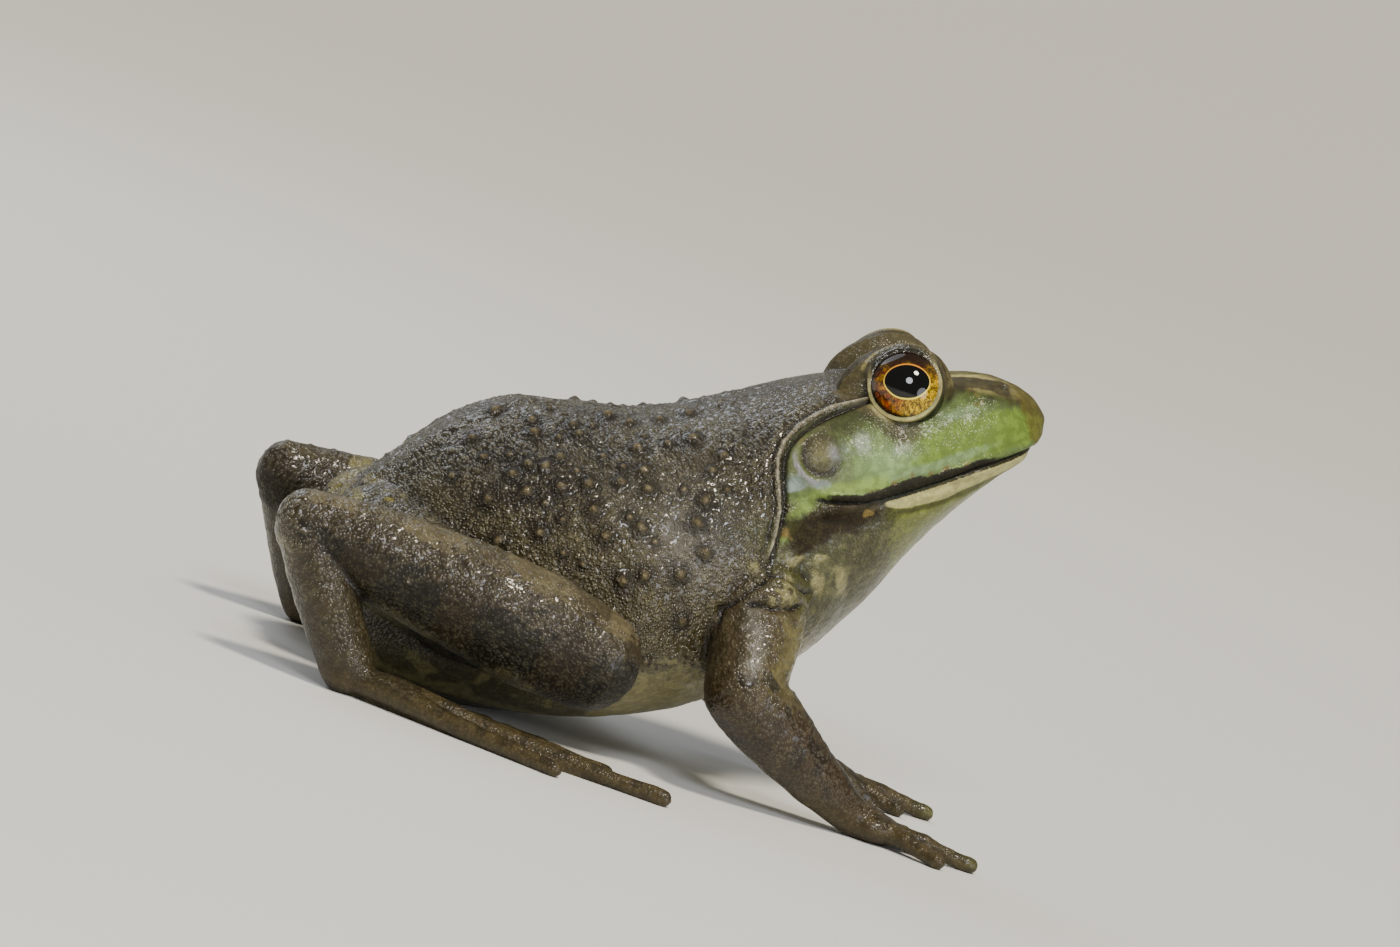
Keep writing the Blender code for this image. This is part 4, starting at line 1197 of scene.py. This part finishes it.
# Each marking, in the order it is laid on: mask, colour, its strength, and whether its edge is broken up
MARKINGS = [
    ("flank", "#41371b", 0.6, True),
    # painted highlight: a wet reflection on the lower shoulder and flank
    ("sheen", "#8e8c86", 0.35, False),
    ("dark_hip", "#181006", 0.85, True),
    ("leg", "#312818", 0.8, False),
    ("arm", "#3f3520", 0.85, False),
    ("arm_front", "#726a3c", 0.65, False),
    # painted shade under the thigh and shank
    ("leg_low", "#0b0803", 0.95, True),
    ("forearm", "#2a1c08", 0.85, True),
    ("arm_blotch", "#150d04", 0.75, True),
    # partly pale skin and partly a painted highlight down the upper arm
    ("arm_sheen", "#8a8880", 0.4, False),
    # partly tan skin and partly painted light on the shank's top
    ("shank_top", "#6c6244", 0.6, True),
    ("bars", "#251c0c", 0.6, True),
    ("leg_inner", "#857f50", 0.55, True),
    ("inner_bars", "#20180b", 0.6, True),
    ("feet", "#40361f", 0.7, False),
    ("foot_bars", "#221a0c", 0.65, True),
    ("marbled", "#8f8538", 0.5, True),
    ("belly", "#8b8456", 0.7, True),
    # partly dark mottling and partly painted shade under the leg
    ("groin", "#2b2413", 0.75, True),
    ("throat", "#3c3d1c", 0.9, False),
    ("chin", "#6d7632", 0.85, True),
    ("throat_mottle", "#7f7d50", 0.3, False),
    ("green", "#607540", 0.92, False),
    ("olive", "#4c5a22", 0.4, True),
    ("behind_ear", "#62664a", 0.6, True),
    ("cheek", "#8ca970", 0.65, False),
    ("snout", "#637b28", 0.8, True),
    ("snout_pale", "#7d9470", 0.5, True),
    # partly bluish-grey skin and partly a painted reflection round the ear
    ("ear_blue", "#7f8f8a", 0.8, True),
    # partly pale skin and partly painted highlights on the cheek
    ("cheek_shine", "#a0aba0", 0.4, True),
    ("under_eye", "#34331a", 0.8, True),
    ("snout_top", "#b8ae6c", 0.88, False),
    ("snout_tip", "#56501f", 0.8, True),
    ("canthus", "#332e1f", 0.92, True),
    ("snout_spots", "#5a5424", 0.75, True),
    ("temple", "#353a1c", 0.9, True),
    ("brow", "#4b452c", 0.75, True),
    ("lid", "#4a4329", 0.8, True),
    ("stripe", "#7f9746", 0.8, False),
    ("patch", "#231909", 0.9, True),
    ("lip_edge", "#6e5226", 0.65, True),
    ("lip", "#140c04", 0.97, True),
    ("jaw_line", "#3d3826", 0.8, False),
    # painted shadow under the jaw band
    ("jaw_under", "#3f3c1e", 0.6, True),
    ("jaw_band", "#b8b274", 0.92, True),
    ("blotch", "#a09864", 0.62, True),
    ("gold", "#86703a", 0.75, True),
    ("spots", "#98925e", 0.7, True),
    ("drum", "#463a2a", 0.8, False),
    # painted shade in the sunken ring round the drum
    ("drum_edge", "#1d1613", 0.85, False),
    # partly pale lavender-grey skin and partly a painted highlight
    ("drum_rim", "#85808a", 0.7, True),
    ("drum_middle", "#6a6644", 0.65, True),
    # painted highlight on the ear drum
    ("drum_sheen", "#8f8f98", 0.55, False),
    # painted highlight along the crest of the fold
    ("fold", "#b3ab92", 0.75, False),
    # painted shade in the dips beside the fold and in the creases round the arm
    ("groove", "#150f06", 0.9, False),
    # partly dark skin and partly painted shadow round the warts
    ("wart_ring", "#0e0903", 0.9, False),
    ("wart", "#75694a", 0.8, False),
    # painted shade in the crease over the lid
    ("lid_crease", "#1d180d", 0.6, True),
    ("under_rim", "#2a2820", 0.9, False),
    ("rim", "#c4b97c", 0.95, False),
    ("lid_edge", "#120f0a", 0.95, False),
    ("lid_line", "#a59b60", 0.7, True),
    ("slit", "#0b0805", 0.97, False),
    ("pit", "#0f0c07", 0.92, False),
]


def material(name):
    made = bpy.data.materials.new(name)
    made.use_nodes = True
    return made, Paint(made.node_tree), made.node_tree.nodes["Principled BSDF"].inputs


def skin_material(granules, mottle):
    """Wet, granular frog skin: brown and grey above, green on the face, cream on the jaw, with painted shade
    in hollows, creases and undersides and painted highlights on the wet skin.
    """
    made, paint, shader = material("frog skin")
    place = paint.node("TexCoord").outputs["Object"]
    grain = paint.group(granules, place)
    blotches = paint.group(mottle, place)
    frayed = paint.noise(place, 0.9, 4.0, 0.7)

    patches = paint.between(paint.noise(place, 15.0, 3.0, 0.55), 0.4, 0.62)
    colour = paint.mix(blotches["Broad"], "#1c160a", "#464025")
    colour = paint.mix(paint.times(patches, 0.6), colour, "#221a0a")
    colour = paint.mix(paint.times(blotches["Fine"], 0.65), colour, "#191308")
    for name, tint, strength, broken in MARKINGS:
        mask = torn(paint, paint.mask(name), frayed) if broken else paint.mask(name)
        colour = paint.mix(paint.times(mask, strength), colour, tint)
    speckle = paint.between(blotches["Fine"], 0.2, 0.9, 0.8, 1.12)
    rough = paint.maths("SUBTRACT", 1.0, paint.times(paint.mask("smooth"), 0.9))
    off_warts = paint.between(paint.mask("wart_ring"), 0.05, 0.6, 1.0, 0.1)
    tops = paint.times(paint.times(grain["Tops"], rough), off_warts)
    colour = paint.mix(1.0, colour, paint.mix(1.0, "#ffffff", speckle), "MULTIPLY")
    # Paler grain tops: partly the grains' own paler tone and partly painted glints of the wet skin.
    colour = paint.mix(paint.times(tops, 0.5), colour, "#a8a07a")
    # Painted shade: the skin darkened in its hollows.
    colour = paint.mix(paint.times(paint.mask("hollow"), 0.9), colour, "#15110a")

    dull = paint.mask("dull")
    wet = paint.between(paint.noise(place, 9.0, 2.0), 0.3, 0.7, *WET_ROUGHNESS)
    bump = paint.node("Bump")
    height = paint.times(grain["Height"], rough)
    paint.give(bump.inputs, {"Strength": 1.0, "Distance": GRANULE_HEIGHT * MM, "Height": height})
    paint.give(shader, {
        "Base Color": colour,
        "Roughness": paint.maths("ADD", wet, paint.times(dull, DULLER)),
        "Specular IOR Level": 0.2,
        "Coat Weight": paint.between(dull, 0, 1, WET_COAT, 0.0),
        "Coat Roughness": COAT_ROUGHNESS,
        "Normal": bump.outputs["Normal"],
        "Coat Normal": bump.outputs["Normal"],
    })
    return made


def eye_material(reticle):
    """A black oval pupil in a gold ring, an iris of rust and gold with dark veins and painted shade of the
    upper lid over its top, under a clear gloss.
    """
    made, paint, shader = material("frog eye")
    wide, high, turn = paint.mask("wide"), paint.mask("high"), paint.mask("ring")
    flat = paint.vector(paint.times(wide, IRIS * MM), paint.times(high, IRIS * MM))
    outward = paint.vector(0, 0, paint.times(turn, RAY_LENGTH * MM))
    ray_width = (RAY_CIRCLE * MM, RAY_CIRCLE * MM, 0)
    rays = paint.vector_maths("MULTIPLY_ADD", paint.vector_maths("NORMALIZE", flat), ray_width, outward)
    net = paint.times(paint.group(reticle, flat)["Veins"], 0.7)
    veins = paint.maths("MAXIMUM", paint.group(reticle, rays)["Veins"], net)
    clouds = paint.noise(flat, 1.5, 4.0, 0.6)

    rear = paint.fade(paint.maths("SUBTRACT", wide, paint.times(high, 0.35)), -0.2, 0.5)
    gold = paint.mix(paint.between(high, -0.4, 0.6), "#ffe84a", "#d8862a")
    colour = paint.mix(rear, "#ffd000", "#b04402")
    for share, tint in (
        (paint.between(high, -0.2, 0.5), "#5a2406"),  # darker above
        (paint.between(clouds, 0.42, 0.62, 0.0, 0.5), "#ffc800"),
        (paint.times(veins, 0.92), "#0e0602"),
        # painted shade of the upper lid over the top of the iris
        (paint.between(high, 0.3, 0.75), "#241911"),
        (paint.between(turn, 0.8, 1.0), "#150b05"),  # rim of the iris
        (paint.fade(turn, 0.07, 0.13), gold),
        (paint.fade(turn, 0.0, 0.03), "#020202"),  # pupil
    ):
        colour = paint.mix(share, colour, tint)
    paint.give(shader, {
        "Base Color": colour,
        "Roughness": 0.5,
        "Specular IOR Level": 0.0,
        "Coat Weight": paint.between(high, 0.35, 0.85, 1.0, 0.3),
        "Coat Roughness": EYE_COAT_ROUGHNESS,
    })
    return made


# ---- eyes
def build_eye(side, paint):
    """An eyeball with the masks that its iris is painted from."""
    name = "eye_ball_left" if side > 0 else "eye_ball_right"
    centre = head_point(EYE[0], side * EYE[1], EYE[2])
    eye = ball(name, centre, [EYE_RADIUS] * 3, columns=EYE_COLUMNS, rows=EYE_ROWS)
    points = read_rows(eye.data.vertices, "co", 3) / MM
    way = in_head_axes(points * (1, side, 1)) - EYE
    axis = unit(np.array(EYE_AXIS))
    forward = unit(np.cross(axis, (0, 0, 1.0)))
    forward = forward * np.sign(forward[0])
    upward = np.cross(forward, axis) * np.sign(np.cross(forward, axis)[2])
    cos, sin = math.cos(PUPIL_TURN), math.sin(PUPIL_TURN)
    wide = way @ forward * cos + way @ upward * sin
    high = way @ upward * cos - way @ forward * sin
    reach = np.hypot(wide, high)
    turn_x, turn_y = wide / np.maximum(reach, 1e-6), high / np.maximum(reach, 1e-6)
    droop = 1 + 0.1 * hump(turn_y, -1, 0.35)
    pupil = PUPIL[0] * PUPIL[1] / np.hypot(PUPIL[1] * turn_x, PUPIL[0] * turn_y) * droop
    ring = np.where(way @ axis > 0, (reach - pupil) / (IRIS - pupil), 1.5)
    keep_masks(eye, {"wide": wide / IRIS, "high": high / IRIS, "ring": ring})
    finish_piece(eye, paint)
    return eye


# ---- scene
def finish_piece(obj, paint):
    obj.data.materials.append(paint)
    obj.data.shade_smooth()


def frame_shift():
    """From the design axes to the frame's, in metres, read off the left eye."""
    low, high = (Vector(corner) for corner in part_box("eye_left"))
    return (low + high) / 2 - Vector(head_point(*EYE)) * MM


def build_frog(shift):
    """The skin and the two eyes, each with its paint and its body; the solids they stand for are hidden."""
    skin = build_skin()
    finish_piece(skin, skin_material(granules_effect(), mottle_effect()))
    iris = eye_material(reticle_effect())
    eyes = {side: build_eye(side, iris) for side in (1, -1)}
    for piece in (skin, *eyes.values()):
        piece.data.transform(Matrix.Translation(shift))
        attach(piece, "root")
    flesh = [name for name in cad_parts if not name.startswith("eye_")]
    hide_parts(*flesh)
    for side, name in ((1, "eye_left"), (-1, "eye_right")):
        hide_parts(name)


def build_camera(shift):
    """A long lens from the frog's right, rolled so that the frog's floor slopes down forwards."""
    data = bpy.data.cameras.new("camera")
    data.sensor_width = SENSOR
    data.lens = SENSOR * CAMERA_DISTANCE / VIEW_WIDTH
    data.clip_start = 0.1
    data.clip_end = 100
    camera = put("camera", data)
    cos, sin = math.cos(CAMERA_BEARING), math.sin(CAMERA_BEARING)
    level = Vector((cos, sin, 0))
    back = Vector((sin * math.cos(CAMERA_HEIGHT), -cos * math.cos(CAMERA_HEIGHT), math.sin(CAMERA_HEIGHT)))
    upright = back.cross(level)
    right = level * math.cos(CAMERA_ROLL) + upright * math.sin(CAMERA_ROLL)
    up = upright * math.cos(CAMERA_ROLL) - level * math.sin(CAMERA_ROLL)
    place = Vector(CAMERA_TARGET) * MM + shift + back * CAMERA_DISTANCE * MM
    camera.matrix_world = Matrix.Translation(place) @ Matrix((right, up, back)).transposed().to_4x4()
    bpy.context.scene.camera = camera


def light(kind, name, place, power, colour, target=(0, 0, 0), **settings):
    """A light at a place, in metres, turned to the target."""
    data = bpy.data.lights.new(name, kind)
    data.energy = power
    data.color = linear(colour)[:3]
    for setting, value in settings.items():
        setattr(data, setting, value)
    lamp = put(name, data)
    lamp.location = place
    lamp.rotation_euler = (Vector(place) - Vector(target)).to_track_quat("Z", "Y").to_euler()


def build_studio():
    """A pale floor, a dim room, a soft sun and the soft boxes."""
    mesh = bpy.data.meshes.new("floor")
    rework(mesh, lambda bm: bmesh.ops.create_circle(bm, cap_ends=True, segments=96, radius=30))
    floor = put("floor", mesh)
    made, paint, shader = material("pale floor")
    paint.give(shader, {"Base Color": "#dcdcd8", "Roughness": 0.9})
    mesh.materials.append(made)

    world = bpy.data.worlds.new("studio")
    world.use_nodes = True
    background = world.node_tree.nodes["Background"].inputs
    Paint(world.node_tree).give(background, {"Color": "#f3f0e6", "Strength": 0.3})
    bpy.context.scene.world = world
    light("SUN", "key", (0.15, -0.5, 1.0), 2.9, "#fff4e0", angle=math.radians(12))
    for name, place, size, power, colour in SOFT_BOXES:
        light("AREA", name, place, power, colour, target=(0, 0, 0.03), shape="DISK", size=size)


def main():
    shift = frame_shift()
    build_camera(shift)
    build_frog(shift)
    build_studio()


main()
